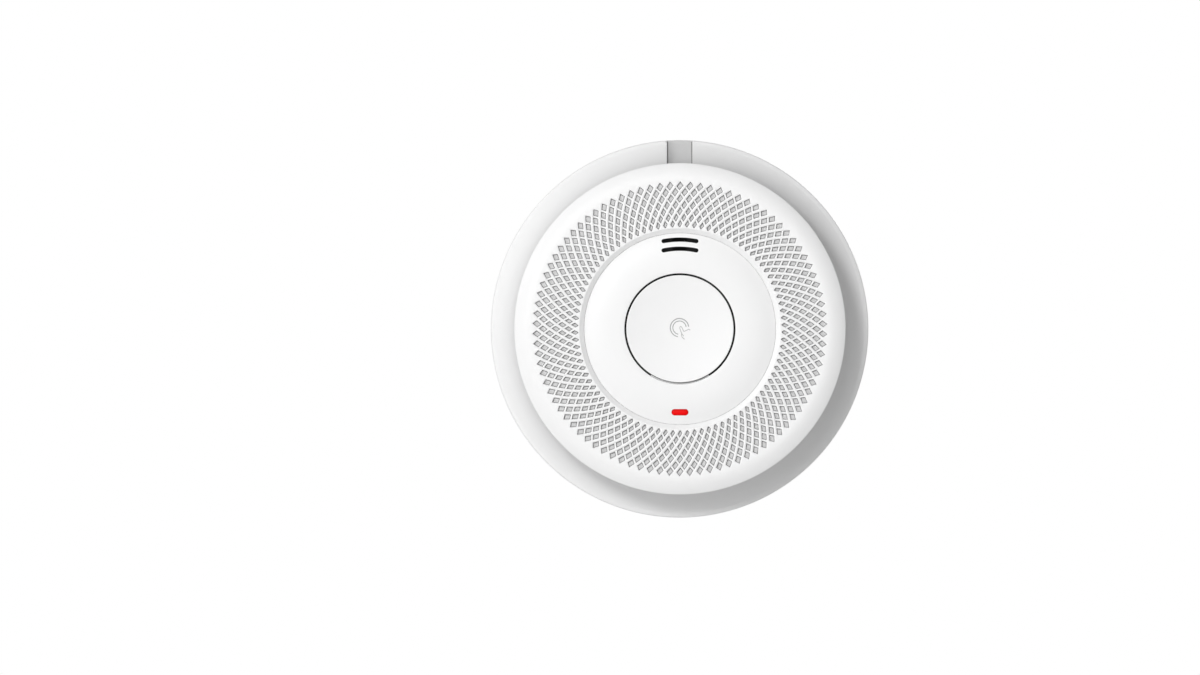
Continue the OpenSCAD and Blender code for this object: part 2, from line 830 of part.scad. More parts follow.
// A 3 mm lamp: body, domed end and two leads bent down to the board
module optic() {
    translate([0, 0, -optic_l / 2]) cylinder(r = optic_r, h = optic_l - optic_r);
    translate([0, 0, optic_l / 2 - optic_r]) sphere(optic_r);
    for (s = [-1, 1]) translate([0, s * 0.6, 0]) {
        translate([0, 0, -optic_l / 2 - 1.6]) cylinder(r = 0.25, h = 1.7, $fn = 24);
        translate([chamber_in_z + 0.1 - optic_z, 0, -optic_l / 2 - 1.4]) rotate([0, 90, 0])
            cylinder(r = 0.25, h = optic_z - chamber_in_z - 0.1, $fn = 24);
    }
}

module infrared_emitter() {
    color("lightsteelblue") at_optic(emitter_turn) optic();
}

module photodiode() {
    color("darkslategray") at_optic(receiver_turn) optic();
}

// ---------------------------------------------------------------- carbon monoxide cell

module at_gas() {
    translate([gas_at[0], gas_at[1], board_top + gas_lift]) children();
}

module gas_cell_body() {
    color("ivory") at_gas() difference() {
        union() {
            cylinder(r = gas_r, h = gas_cell_h - 2.4);
            cylinder(r = gas_r - 0.8, h = gas_cell_h);
        }
        translate([0, 0, gas_cell_h - 1.2]) cylinder(r = 5, h = 1.3);
    }
}

module gas_cell_filter() {
    color("dimgray") at_gas() translate([0, 0, gas_cell_h - 1.2]) cylinder(r = 4.8, h = 1.1);
}

module gas_cell_cap() {
    color("silver") at_gas() translate([0, 0, gas_cell_h]) ring(gas_r - 1.4, gas_inlet_r, gas_cap_t);
}

module gas_cell_pins() {
    color("gold") for (a = gas_pin_turns) translate(concat(gas_at + turn(gas_r - 4, a), [board_z - 0.3]))
        cylinder(r = gas_pin_r, h = board_t + gas_lift + 0.3);
}

// ---------------------------------------------------------------- sounder

module at_sounder() {
    translate([sounder_at[0], sounder_at[1], 0]) children();
}

module sounder_base() {
    color("black") at_sounder() difference() {
        translate([0, 0, board_top]) cylinder(r = sounder_r, h = sounder_cup_h);
        translate([0, 0, board_top - touch]) cylinder(r = piezo_r - sounder_step_w, h = sounder_cup_h + 1);
        translate([0, 0, sounder_step_z]) cylinder(r = piezo_r + fit, h = sounder_cup_h);
    }
}

module sounder_disc() {
    color("gold") at_sounder() translate([0, 0, sounder_step_z]) cylinder(r = piezo_r, h = piezo_t);
}

module sounder_ceramic() {
    color("whitesmoke") at_sounder() translate([0, 0, sounder_step_z - ceramic_t])
        cylinder(r = piezo_r - 4, h = ceramic_t);
}

module sounder_contacts() {
    color("silver") at_sounder() {
        translate([4, 0, board_top]) cylinder(r = 0.45, h = sounder_step_z - ceramic_t - board_top);
        translate([-(piezo_r - 2.4), 0, board_top]) cylinder(r = 0.45, h = sounder_step_z - board_top);
    }
}

module sounder_cap() {
    color("black") at_sounder() translate([0, 0, board_top + sounder_cup_h]) difference() {
        cylinder(r = sounder_r, h = sounder_cap_t);
        translate([port_at[0], port_at[1], -touch]) cylinder(r = sounder_port_r, h = sounder_cap_t + 2 * touch);
    }
}

module sounder_gasket() {
    color("black") translate([duct_at[0], duct_at[1], gasket_z]) difference() {
        box([duct_size[0] + 2 * duct_wall, duct_size[1] + 2 * duct_wall, gasket_t], [0, 0, 0]);
        box([duct_size[0], duct_size[1], gasket_t + 2 * touch], [0, 0, -touch]);
    }
}

// Black acoustic gauze glued over the sounder's port, inside the gasket
module sounder_gauze() {
    color("black") at_sounder() translate([port_at[0], port_at[1], gasket_z])
        cylinder(r = (duct_size[1] - 0.2) / 2, h = gauze_t);
}

// ---------------------------------------------------------------- small electronics

module status_led() {
    color("white") box([3.2, 2.8, led_h], [0, lens_y, board_top]);
}

module chip(at, size, legs) {
    box([size[0], size[1], size[2]], [at[0], at[1], board_top]);
    pitch = size[1] / (legs + 1);
    for (s = [-1, 1], i = [1:legs])
        box([1.2, 0.5, 0.4], [at[0] + s * (size[0] / 2 + 0.5), at[1] - size[1] / 2 + i * pitch, board_top]);
}

module control_chip() {
    color("black") chip(chip_at, chip_size, 8);
}

module sensor_chip() {
    color("black") chip(amp_at, amp_size, 4);
}

module radio_board() {
    color("darkblue") box(radio_size, [radio_at[0], radio_at[1], board_top]);
}

module radio_shield() {
    color("silver") box([radio_size[0] - 2, radio_size[1] - 4, shield_h],
        [radio_at[0], radio_at[1] - 1, board_top + radio_size[2]]);
}

// Straight spring of wire that stands on the board, drawn as its rings
module radio_antenna() {
    color("gold") translate([antenna_at[0], antenna_at[1], board_top]) {
        cylinder(r = 0.4, h = 10);
        for (i = [0:4]) translate([0, 0, 1.2 + i * 1.7]) rotate_extrude()
            translate([1.2, 0]) circle(0.45);
        for (i = [0:4]) translate([0, -0.25, 1 + i * 1.7]) cube([1.2, 0.5, 0.4]);
    }
}

module storage_capacitors() {
    color("darkslateblue") for (p = cap_at) translate([p[0], p[1], board_top]) {
        cylinder(r = cap_r, h = cap_h);
    }
}

module boost_coil() {
    color("dimgray") translate([coil_at[0], coil_at[1], board_top]) {
        box([coil_size[0], coil_size[1], 1.2], [0, 0, 0]);
        cylinder(r = 2.2, h = coil_size[2]);
        translate([0, 0, 1.2]) cylinder(r = 3, h = 2);
        translate([0, 0, coil_size[2] - 1.2]) cylinder(r = 3.4, h = 1.2);
    }
}

module small_components() {
    color("sienna") for (p = small_at) box([2, 1.25, 0.6], [p[0], p[1], board_top]);
}

// ---------------------------------------------------------------- batteries

// One cell lies along x. side is -1 or 1, and turned swaps its ends.
module battery(side, turned) {
    nub_r = 2.75;
    nub_l = 1.2;
    translate([(turned ? -1 : 1) * cell_mid_x, side * cell_pitch / 2, cell_z]) rotate([0, turned ? -90 : 90, 0]) {
        translate([0, 0, -cell_l / 2]) cylinder(r = cell_d / 2, h = cell_l - nub_l);
        translate([0, 0, cell_l / 2 - nub_l]) cylinder(r = nub_r, h = nub_l);
    }
}

module battery_1() {
    color("dimgray") battery(1, false);
}

module battery_2() {
    color("dimgray") battery(-1, true);
}

// Each spring is a stack of rings joined by three stems
module battery_springs() {
    turns = 4;
    wire_r = 0.45;
    coil_r = 3.6;
    color("silver") for (side = [-1, 1])
        translate([-side * (contact_x - contact_t / 2), side * cell_pitch / 2, cell_z]) rotate([0, side * 90, 0]) {
            for (i = [0:turns - 1]) translate([0, 0, wire_r + i * (spring_l - 2 * wire_r) / (turns - 1)])
                rotate_extrude() translate([coil_r, 0]) circle(wire_r);
            for (a = [0:120:240]) rotate(a) translate([coil_r - 0.3, -0.3, wire_r])
                cube([0.6, 0.6, spring_l - 2 * wire_r]);
        }
}

// Plate that joins the spring of one cell to the nub of the other
module battery_bridge() {
    w = bay_w - 3;
    color("silver") box([contact_t, w, contact_h], [-contact_x, 0, floor_top + 1]);
}

// Plates for the two free ends of the pair of cells, with tails that reach the board
module battery_terminals() {
    w = cell_pitch - 2;
    color("silver") for (t = [-1, 1]) {
        box([contact_t, w, contact_h], [contact_x, t * cell_pitch / 2, floor_top + 1]);
        box([contact_t, tail_w, board_top + 1 - floor_top - contact_h],
            [contact_x, t * cell_pitch / 2, floor_top + contact_h]);
    }
}

module battery_door() {
    neck = trough_r + 0.8;
    color("white") union() {
        translate([-bay_l / 2 - door_edge + door_slip, door_hinge_y + neck, floor_z])
            cube([bay_l + 2 * (door_edge - door_slip), door_top_y - door_hinge_y - neck, door_t]);
        translate([-door_barrel_l / 2, door_hinge_y, floor_z]) cube([door_barrel_l, neck + bite, door_t]);
        translate([0, door_hinge_y, door_hinge_z]) rotate([0, 90, 0]) {
            cylinder(r = door_barrel_r, h = door_barrel_l, center = true);
            cylinder(r = door_pin_r, h = door_barrel_l + 2 * door_pin_l, center = true);
        }
        translate([-tongue_w / 2, door_top_y - bite, floor_z]) cube([tongue_w, tongue_l + bite, tongue_t]);
    }
}

// Two strips of foam on the door, which keep the cells from rattling
module door_pad() {
    pad_t = cell_z - cell_d / 2 - floor_z - door_t - 0.1;
    color("darkgray") for (x = [-14, 14]) box([10, bay_w - 4, pad_t], [x, 0, floor_z + door_t]);
}

on_wall() mounting_bracket();
on_wall() rear_housing();
on_wall() front_cover();
on_wall() centre_plate();
on_wall() insect_screen();
on_wall() inner_shroud();
on_wall() light_pipe();
on_wall() main_board();
on_wall() board_screws();
on_wall() housing_screws();
on_wall() chamber_base();
on_wall() chamber_cover();
on_wall() chamber_mesh();
on_wall() infrared_emitter();
on_wall() photodiode();
on_wall() gas_cell_body();
on_wall() gas_cell_cap();
on_wall() gas_cell_pins();
on_wall() gas_cell_filter();
on_wall() sounder_base();
on_wall() sounder_cap();
on_wall() sounder_disc();
on_wall() sounder_ceramic();
on_wall() sounder_contacts();
on_wall() sounder_gasket();
on_wall() sounder_gauze();
on_wall() switch_body();
on_wall() switch_plunger();
on_wall() status_led();
on_wall() control_chip();
on_wall() sensor_chip();
on_wall() radio_board();
on_wall() radio_shield();
on_wall() radio_antenna();
on_wall() storage_capacitors();
on_wall() boost_coil();
on_wall() small_components();
on_wall() battery_1();
on_wall() battery_2();
on_wall() battery_springs();
on_wall() battery_bridge();
on_wall() battery_terminals();
on_wall() test_button();
on_wall() battery_door();
on_wall() door_pad();
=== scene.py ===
"""Looks of the round smoke and carbon monoxide alarm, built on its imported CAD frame.

The alarm hangs on a wall and faces -Y, with its index notch at +Z. Sizes are in millimetres and
become metres when a mesh is made. Most moulded surfaces are turned about the alarm's own axis, so
they are written as (r, h): the distance from that axis, and the height above the wall. The sections
follow the alarm as it is put together, from the wall outwards.
"""

import math

import bmesh
import bpy
import numpy as np
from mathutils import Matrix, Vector


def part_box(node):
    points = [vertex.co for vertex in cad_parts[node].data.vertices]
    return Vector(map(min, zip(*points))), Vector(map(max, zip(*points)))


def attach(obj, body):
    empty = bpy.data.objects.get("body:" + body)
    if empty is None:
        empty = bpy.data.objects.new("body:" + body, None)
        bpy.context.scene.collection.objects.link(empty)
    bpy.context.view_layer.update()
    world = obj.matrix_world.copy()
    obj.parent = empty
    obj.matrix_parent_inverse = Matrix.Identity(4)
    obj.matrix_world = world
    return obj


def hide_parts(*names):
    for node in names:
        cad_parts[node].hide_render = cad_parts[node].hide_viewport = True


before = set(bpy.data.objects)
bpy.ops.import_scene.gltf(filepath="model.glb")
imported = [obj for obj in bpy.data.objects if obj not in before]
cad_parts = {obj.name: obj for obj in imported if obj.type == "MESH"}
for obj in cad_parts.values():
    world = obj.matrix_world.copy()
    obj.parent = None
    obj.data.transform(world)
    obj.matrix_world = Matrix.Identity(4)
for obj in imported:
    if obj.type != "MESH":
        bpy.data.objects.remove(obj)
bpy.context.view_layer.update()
MM = 0.001
scene = bpy.context.scene


# ------------------------------------------------------------------ wall bracket

# The plate that is screwed to the wall: one moulding in white ABS, with three lugs on its rim that
# the alarm twists on to. Its mould was spark-finished, so it has a fine even grain.

def grain_group():
    """Node group with the fine texture of a moulded or worked surface: two scales of noise, which give
    a normal and a slightly uneven roughness. Object coordinates keep it fixed to the piece."""
    group = bpy.data.node_groups.new("surface_grain", "ShaderNodeTree")
    put = group.interface.new_socket
    for label, value in (("Scale", 2500), ("Depth", 0.00002), ("Roughness", 0.4), ("Variation", 0.06)):
        put(name=label, in_out="INPUT", socket_type="NodeSocketFloat").default_value = value
    put(name="Normal", in_out="OUTPUT", socket_type="NodeSocketVector")
    put(name="Roughness", in_out="OUTPUT", socket_type="NodeSocketFloat")
    put(name="Mask", in_out="OUTPUT", socket_type="NodeSocketFloat")
    nodes, link = group.nodes, group.links.new
    inputs, outputs = nodes.new("NodeGroupInput"), nodes.new("NodeGroupOutput")
    where = nodes.new("ShaderNodeTexCoord")
    fine, broad = nodes.new("ShaderNodeTexNoise"), nodes.new("ShaderNodeTexNoise")
    link(where.outputs["Object"], fine.inputs["Vector"])
    link(where.outputs["Object"], broad.inputs["Vector"])
    link(inputs.outputs["Scale"], fine.inputs["Scale"])
    fine.inputs["Detail"].default_value = 3
    broad.inputs["Scale"].default_value = 45
    broad.inputs["Detail"].default_value = 4
    bump = nodes.new("ShaderNodeBump")
    bump.inputs["Strength"].default_value = 1
    link(fine.outputs["Fac"], bump.inputs["Height"])
    link(inputs.outputs["Depth"], bump.inputs["Distance"])
    centre, spread = nodes.new("ShaderNodeMath"), nodes.new("ShaderNodeMath")
    centre.operation, spread.operation = "SUBTRACT", "MULTIPLY_ADD"
    centre.inputs[1].default_value = 0.5
    link(broad.outputs["Fac"], centre.inputs[0])
    link(centre.outputs[0], spread.inputs[0])
    link(inputs.outputs["Variation"], spread.inputs[1])
    link(inputs.outputs["Roughness"], spread.inputs[2])
    link(bump.outputs["Normal"], outputs.inputs["Normal"])
    link(spread.outputs[0], outputs.inputs["Roughness"])
    link(broad.outputs["Fac"], outputs.inputs["Mask"])
    return group


GRAIN = grain_group()


def finish(name, colour, rough, metal=0.0, scale=2500, depth=0.00002, variation=0.06, tint=0.03,
           **sockets):
    """Principled material whose colour drifts by tint across the piece and whose surface has the grain.
    Extra keywords set shader sockets by name, with _ for a space."""
    material = bpy.data.materials.new(name)
    material.use_nodes = True
    material.diffuse_color = (*colour, 1)
    nodes, link = material.node_tree.nodes, material.node_tree.links.new
    shader = nodes["Principled BSDF"]
    grain = nodes.new("ShaderNodeGroup")
    grain.node_tree = GRAIN
    for socket, value in (("Scale", scale), ("Depth", depth), ("Roughness", rough),
                          ("Variation", variation)):
        grain.inputs[socket].default_value = value
    drift = nodes.new("ShaderNodeMix")
    drift.data_type = "RGBA"
    for socket, k in ((6, 1 - tint), (7, 1 + tint)):
        drift.inputs[socket].default_value = (*[min(1, c * k) for c in colour], 1)
    link(grain.outputs["Mask"], drift.inputs[0])
    link(drift.outputs[2], shader.inputs["Base Color"])
    link(grain.outputs["Normal"], shader.inputs["Normal"])
    link(grain.outputs["Roughness"], shader.inputs["Roughness"])
    shader.inputs["Metallic"].default_value = metal
    for socket, value in sockets.items():
        shader.inputs[socket.replace("_", " ")].default_value = value
    return material


def dress(material, *nodes):
    """Gives CAD nodes whose shape is right their finish."""
    for node in nodes:
        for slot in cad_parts[node].material_slots:
            slot.material = material


bracket_white = finish("bracket_white", (0.86, 0.86, 0.85), 0.5, depth=0.00002, tint=0.01)
dress(bracket_white, "mounting_bracket")


# ------------------------------------------------------------------ rear housing

# The deep moulding that carries everything, in white ABS. Its floor, battery bay and posts are the
# CAD's own; over its outside lies a skin with the rounded rim, the hollow slope up to the cover and
# the softened edges of the index notch.
low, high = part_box("rear_housing")
SKIN = 0.05  # how far the skin stands off the CAD's housing
SKIRT_R = (high.x - low.x) / 2 / MM + SKIN
SKIRT_FOOT, SKIRT_TOP = -high.y / MM - SKIN, 12.6 + SKIN
SKIRT_WALL = 2 + 2 * SKIN  # the CAD's wall with the skin on both its faces
COVE_R = SKIRT_R - 0.7  # where the slope starts, inside the skirt's rounded rim
COVE_FROM, COVE_TO = math.radians(12), math.radians(80)
SEAT_R, SEAT = 58.9, 21.6  # where the slope meets the cover
NOTCH_HALF, NOTCH_FLOOR, NOTCH_BACK = 4.6 - SKIN, 10.4 + SKIN, 58.7 + SKIN
NOTCH_RISE = 0.7  # the floor's share of the slope's rise
NOTCH_BEVEL, NOTCH_DRAFT = 0.45, 0.45
AROUND = 720  # steps of the skin round the axis
SHARP = 40  # an edge that turns by more degrees than this stays sharp
housing_white = finish("housing_white", (0.84, 0.84, 0.84), 0.48, depth=0.000008, tint=0.004)


def place(r, a, h):
    """Points of the row frame in metres: r from the axis, at a degrees anticlockwise from +X as seen
    from the front, h above the wall. x = r cos a, y = -h, z = r sin a."""
    r, a, h = np.broadcast_arrays(np.asarray(r, float), np.radians(a), np.asarray(h, float))
    return np.stack([r * np.cos(a), -h, r * np.sin(a)], -1) * MM


def flat(x, z, h):
    """Points in metres from x and z in millimetres on the face and h above the wall."""
    x, z, h = np.broadcast_arrays(np.asarray(x, float), np.asarray(z, float), np.asarray(h, float))
    return np.stack([x, -h, z], -1) * MM


def make(name, points, faces, body, material, smooth=SHARP):
    """Mesh object of points (n, 3) in metres and faces, riding on a CAD body, or on none for a cutter.
    Edges that turn more than smooth degrees stay sharp."""
    mesh = bpy.data.meshes.new(name)
    points, faces = np.asarray(points, float).reshape(-1, 3), [np.asarray(face).tolist() for face in faces]
    mesh.from_pydata(points.tolist(), [], faces)
    mesh.update()
    mesh.shade_smooth()
    mesh.set_sharp_from_angle(angle=math.radians(smooth))
    mesh.materials.append(material)
    piece = bpy.data.objects.new(name, mesh)
    scene.collection.objects.link(piece)
    if body:
        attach(piece, body)
    return piece


def quads_of(rows, columns, wrap_rows=False, wrap_columns=False, flip=False):
    """Faces of a grid of rows x columns points numbered row by row. They look along column x row."""
    i, j = np.arange(rows - (not wrap_rows))[:, None], np.arange(columns - (not wrap_columns))
    i2, j2 = (i + 1) % rows, (j + 1) % columns
    quads = np.stack([i * columns + j, i * columns + j2, i2 * columns + j2, i2 * columns + j], -1)
    return quads.reshape(-1, 4)[:, ::-1 if flip else 1]


def rounded(corners, steps=5):
    """Profile with rounded corners. corners holds (r, h, radius); a corner P between directions to its
    neighbours becomes the arc of that radius tangent to both sides, cut at radius / tan(angle / 2)."""
    out = []
    for k, (r, h, radius) in enumerate(corners):
        p = np.array([r, h], float)
        if radius <= 0:
            out.append(p)
            continue
        a = np.array(corners[k - 1][:2], float) - p
        b = np.array(corners[(k + 1) % len(corners)][:2], float) - p
        la, lb = np.linalg.norm(a), np.linalg.norm(b)
        a, b = a / la, b / lb
        half = math.acos(np.clip(a @ b, -1, 1)) / 2
        reach = min(radius / math.tan(half), 0.48 * la, 0.48 * lb)
        centre = p + (a + b) / np.linalg.norm(a + b) * reach / math.cos(half)
        start, end = p + a * reach - centre, p + b * reach - centre
        turn = math.atan2(start[0] * end[1] - start[1] * end[0], start @ end)
        t = np.linspace(0, turn, steps + 1)[:, None]
        out.extend(centre + np.cos(t) * start + np.sin(t) * np.array([-start[1], start[0]]))
    return np.array(out)


def cove(t):
    """The slope's profile (r, h) for t from 0 at the skirt to 1 at the cover: a quarter ellipse between
    a = 12 and 80 degrees, with r falling as sin a and h rising as 1 - cos a."""
    a = COVE_FROM + (COVE_TO - COVE_FROM) * t
    inwards = (np.sin(a) - math.sin(COVE_FROM)) / (math.sin(COVE_TO) - math.sin(COVE_FROM))
    upwards = (math.cos(COVE_FROM) - np.cos(a)) / (math.cos(COVE_FROM) - math.cos(COVE_TO))
    return np.stack([COVE_R + (SEAT_R - COVE_R) * inwards, SKIRT_TOP + (SEAT - SKIRT_TOP) * upwards], -1)


slope = [(r, h, 0) for r, h in cove(np.linspace(0.06, 1, 40))]
lip = NOTCH_FLOOR - NOTCH_BEVEL
profile = rounded([(SKIRT_R, lip, 0), (SKIRT_R, SKIRT_TOP + 0.03, 0.55)] + slope, 8)
ends = np.degrees(np.arcsin((NOTCH_HALF + NOTCH_BEVEL) / profile[:, 0]))[:, None]
angles = 90 + ends + (360 - 2 * ends) * np.linspace(0, 1, AROUND + 1)
skin = make("housing_slope", place(profile[:, :1], angles, profile[:, 1:]),
            quads_of(len(profile), AROUND + 1), "head", housing_white)
foot = rounded([(SKIRT_R - SKIRT_WALL, SKIRT_FOOT + 5, 0), (SKIRT_R - SKIRT_WALL, SKIRT_FOOT, 0.3),
                (SKIRT_R, SKIRT_FOOT, 0.4), (SKIRT_R, lip, 0)])
skirt = make("housing_skirt", place(foot[:, :1], np.arange(AROUND) * 360 / AROUND, foot[:, 1:]),
             quads_of(len(foot), AROUND, wrap_columns=True), "head", housing_white)

# The notch: softened edges and side walls, then its floor with a rounded lip, then its back. Its walls
# and floor are rough and are given greys darker than the slope: painted shade in the recess, darkest on the
# walls.
notch_painted_shade = finish("notch_painted_shade", (0.62, 0.62, 0.62), 0.7, depth=0.00002, tint=0.01)
notch_wall_painted_shade = finish("notch_wall_painted_shade", (0.3, 0.3, 0.3), 0.7, depth=0.00002, tint=0.01)


def notch_h(r):
    """Height of the notch's floor: it rises by NOTCH_RISE of the slope's rise at the same radius."""
    r_h = cove(np.linspace(1, 0, 40))
    return NOTCH_FLOOR + (np.interp(r, r_h[:, 0], r_h[:, 1]) - SKIRT_TOP) * NOTCH_RISE


along = np.gradient(profile, axis=0)
normal = np.stack([-along[:, 1], along[:, 0]], -1) / np.linalg.norm(along, axis=1)[:, None]
inner = profile + normal * NOTCH_BEVEL
for s in (-1, 1):
    x = s * NOTCH_HALF
    wall_z = np.sqrt(inner[:, 0] ** 2 - x * x)
    outer_x = x + s * NOTCH_BEVEL
    rows = np.stack([flat(outer_x, np.sqrt(profile[:, 0] ** 2 - outer_x ** 2), profile[:, 1]),
                     flat(x, wall_z, inner[:, 1]), flat(x - s * NOTCH_DRAFT, wall_z, notch_h(inner[:, 0]))])
    side = make("notch_side_%d" % (s + 1), rows, quads_of(3, len(profile), flip=s > 0), "head",
                housing_white, 60)
    # The side wall's strip gets the dark grey as painted shade; the softened edge stays white.
    side.data.materials.append(notch_wall_painted_shade)
    strips = np.repeat([0, 1], len(profile) - 1).astype(np.int32)
    side.data.polygons.foreach_set("material_index", strips)
across = np.linspace(NOTCH_HALF, -NOTCH_HALF, 9)
lip_rows = rounded([(SKIRT_R, lip, 0), (SKIRT_R, NOTCH_FLOOR, NOTCH_BEVEL)]
                   + [(r, notch_h(r), 0) for r in np.linspace(SKIRT_R - 1, NOTCH_BACK + 0.3, 16)]
                   + [(NOTCH_BACK, notch_h(NOTCH_BACK), 0), (NOTCH_BACK, SEAT + 0.3, 0)])
in_front = lip_rows[:, :1] > NOTCH_BACK + 0.1
lip_z = np.where(in_front, np.sqrt(lip_rows[:, :1] ** 2 - across ** 2), NOTCH_BACK)
# The floor is grey: painted shade in the recess.
make("notch_floor", flat(across, lip_z, lip_rows[:, 1:]),
                  quads_of(len(lip_rows), len(across)), "head", notch_painted_shade)
dress(housing_white, "rear_housing")


# ------------------------------------------------------------------ battery bay and door

# Two AA cells lie side by side. Each is a steel can in a printed sleeve, dark with a copper band at
# its positive end, where the can is drawn out into the nub.
CELL_R, NUB_R, NUB_H, BAND = 7.25, 2.75, 1.2, 12
RECESS = 0.3  # how deep a cell's end faces lie inside the sleeve's rim
sleeve_dark = finish("sleeve_dark", (0.025, 0.027, 0.03), 0.28, depth=0.000003)
sleeve_copper = finish("sleeve_copper", (0.62, 0.30, 0.12), 0.25, metal=0.9, depth=0.000003)
nickel = finish("nickel", (0.70, 0.68, 0.63), 0.25, metal=1.0, scale=1200, depth=0.000005)


def weld(polygons):
    """Points and faces of polygons in metres: points closer than 0.1 micrometre become one, and a side
    that shrinks to nothing is left out."""
    points = np.concatenate(polygons)
    keys, index = np.unique(np.round(points / 1e-7).astype(np.int64), axis=0, return_inverse=True)
    index = index.ravel()
    first = np.zeros(len(keys), int)
    first[index] = np.arange(len(points))
    faces, start = [], 0
    for polygon in polygons:
        loop = index[start:start + len(polygon)].tolist()
        loop = [v for k, v in enumerate(loop) if v != loop[k - 1]]
        start += len(polygon)
        if len(loop) >= 3:
            faces.append(loop)
    return points[first], faces


def turned(name, profile, body, material, steps=360, mount=place):
    """Closed solid of revolution of a profile (n, 2) of r and h, listed anticlockwise in the (r, h)
    plane so that its faces look outwards. The rings at r = 0 close to one point each. mount turns
    (r, a, h) into points, about the alarm's own axis unless another is given."""
    points = mount(profile[:, :1], np.arange(steps) * 360 / steps, profile[:, 1:]).reshape(-1, 3)
    quads = quads_of(len(profile), steps, wrap_rows=True, wrap_columns=True)
    return make(name, *weld(points[quads]), body, material)


for number in (1, 2):
    low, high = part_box("battery_%d" % number)
    middle, length = (low + high) / 2 / MM, (high.x - low.x) / MM
    s = 1 if number == 1 else -1

    def lying(r, a, h, middle=middle, s=s):
        """Points round a cell's own axis: h runs along it to the positive end, at s times +X."""
        r, a, h = np.broadcast_arrays(np.asarray(r, float), np.radians(a), np.asarray(h, float))
        return np.stack([middle.x + s * h, middle.y + s * r * np.cos(a), middle.z + r * np.sin(a)], -1) * MM

    end = length / 2
    nub = end - NUB_H
    band = nub - BAND
    for part, material, steps, section in (
            ("sleeve", sleeve_dark, 64,
             [(0, -end + RECESS, 0), (CELL_R - 0.2, -end + RECESS, 0), (CELL_R - 0.2, -end, 0.2),
              (CELL_R, -end, 0.4), (CELL_R, band, 0), (0, band, 0)]),
            ("band", sleeve_copper, 64,
             [(0, band, 0), (CELL_R, band, 0), (CELL_R, nub, 0.5), (CELL_R - 1, nub, 0.2),
              (CELL_R - 1.2, nub - RECESS, 0), (0, nub - RECESS, 0)]),
            ("nub", nickel, 48,
             [(0, nub - RECESS, 0), (CELL_R - 1.3, nub - RECESS, 0), (NUB_R, nub - 0.1, 0.2),
              (NUB_R, end, 0.4), (0, end, 0)])):
        piece = turned("cell_%d_%s" % (number, part), rounded(section), "head", material, steps, lying)
        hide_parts("battery_%d" % number)

# Each cell's negative end rests on a coil spring wound from nickelled wire, four turns tapering a
# little towards the cell.
low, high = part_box("battery_springs")
TURNS, WIRE, COIL_WIDE, COIL_NARROW, SPRING_L = 4.0, 0.45, 3.6, 3.2, 4.4


def face_outwards(piece):
    """Turns a closed mesh's faces to look outwards."""
    work = bmesh.new()
    work.from_mesh(piece.data)
    bmesh.ops.recalc_face_normals(work, faces=work.faces)
    work.to_mesh(piece.data)
    work.free()


def spring(name, x0, x1, z, h):
    """Tube of radius WIRE along a helix from x0 to x1: the coil's radius eases from wide to narrow, and
    the first and last tenths of its turns lie closed, without rise."""
    rows, sides = 160, 10
    t = np.linspace(0, 1, rows)[:, None]
    rise = np.clip((t - 0.1) / 0.8, 0, 1)
    angle, coil = 2 * np.pi * TURNS * t, COIL_WIDE + (COIL_NARROW - COIL_WIDE) * t
    ring = np.linspace(0, 2 * np.pi, sides, endpoint=False)
    radius = coil + WIRE * np.cos(ring)
    reach = x0 + (x1 - x0) * rise + WIRE * np.sin(ring)
    points = flat(reach, z + radius * np.sin(angle), h + radius * np.cos(angle))
    caps = [np.arange(sides), np.arange(sides)[::-1] + (rows - 1) * sides]
    piece = make(name, points, list(quads_of(rows, sides, wrap_columns=True)) + caps, "head", nickel)
    face_outwards(piece)
    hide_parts("battery_springs")


for number, x0, toward in ((1, low.x / MM, 1), (2, high.x / MM, -1)):
    b_low, b_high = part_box("battery_%d" % number)
    middle = (b_low + b_high) / 2 / MM
    spring("spring_%d" % number, x0 + toward * WIRE, x0 + toward * (SPRING_L - WIRE), middle.z, -middle.y)
dress(nickel, "battery_bridge", "battery_terminals")

# The battery door is moulded in the housing's plastic. Two strips of foam on it keep the cells quiet.
foam_grey = finish("foam_grey", (0.05, 0.05, 0.055), 0.85, scale=1500, depth=0.0001)
dress(housing_white, "battery_door")
dress(foam_grey, "door_pad")


# ------------------------------------------------------------------ circuit board

# A round glass-epoxy board under green solder mask, whose weave just shows, with black moulded
# chips, tinned cans and plated wire. All of it stands behind the front and its shroud.
board_green = finish("board_green", (0.02, 0.13, 0.06), 0.3, scale=900, depth=0.00001, tint=0.2)
radio_blue = finish("radio_blue", (0.01, 0.035, 0.14), 0.3, scale=900, depth=0.00001, tint=0.2)
epoxy_black = finish("epoxy_black", (0.018, 0.018, 0.018), 0.55, scale=3000, depth=0.00002)
tin = finish("tin", (0.72, 0.72, 0.71), 0.35, metal=1.0, scale=700, depth=0.00001)
gold = finish("gold", (0.90, 0.66, 0.28), 0.25, metal=1.0, depth=0.000005)
zinc = finish("zinc", (0.62, 0.62, 0.64), 0.32, metal=1.0, scale=1800, depth=0.00001)
dress(board_green, "main_board")
dress(radio_blue, "radio_board")
dress(tin, "radio_shield")
dress(gold, "radio_antenna")
dress(epoxy_black, "control_chip", "sensor_chip")
dress(finish("ferrite", (0.05, 0.05, 0.055), 0.6, scale=2000, depth=0.00003), "boost_coil")
dress(finish("capacitor_blue", (0.02, 0.03, 0.09), 0.3, depth=0.000003), "storage_capacitors")
dress(finish("fired_tan", (0.38, 0.25, 0.13), 0.5, scale=4000), "small_components")
dress(zinc, "board_screws", "housing_screws")

# The test switch and the status lamp, which stand under the button and the red lens.
matt_black_and_painted_gap_shade = finish("matt_black_and_painted_gap_shade", (0.012, 0.012, 0.013), 0.5)
dress(matt_black_and_painted_gap_shade, "switch_plunger")
dress(finish("switch_grey", (0.08, 0.08, 0.085), 0.45), "switch_body")
dress(finish("lamp_white", (0.75, 0.75, 0.70), 0.35, depth=0.0), "status_led")


# ------------------------------------------------------------------ smoke chamber, gas cell and sounder

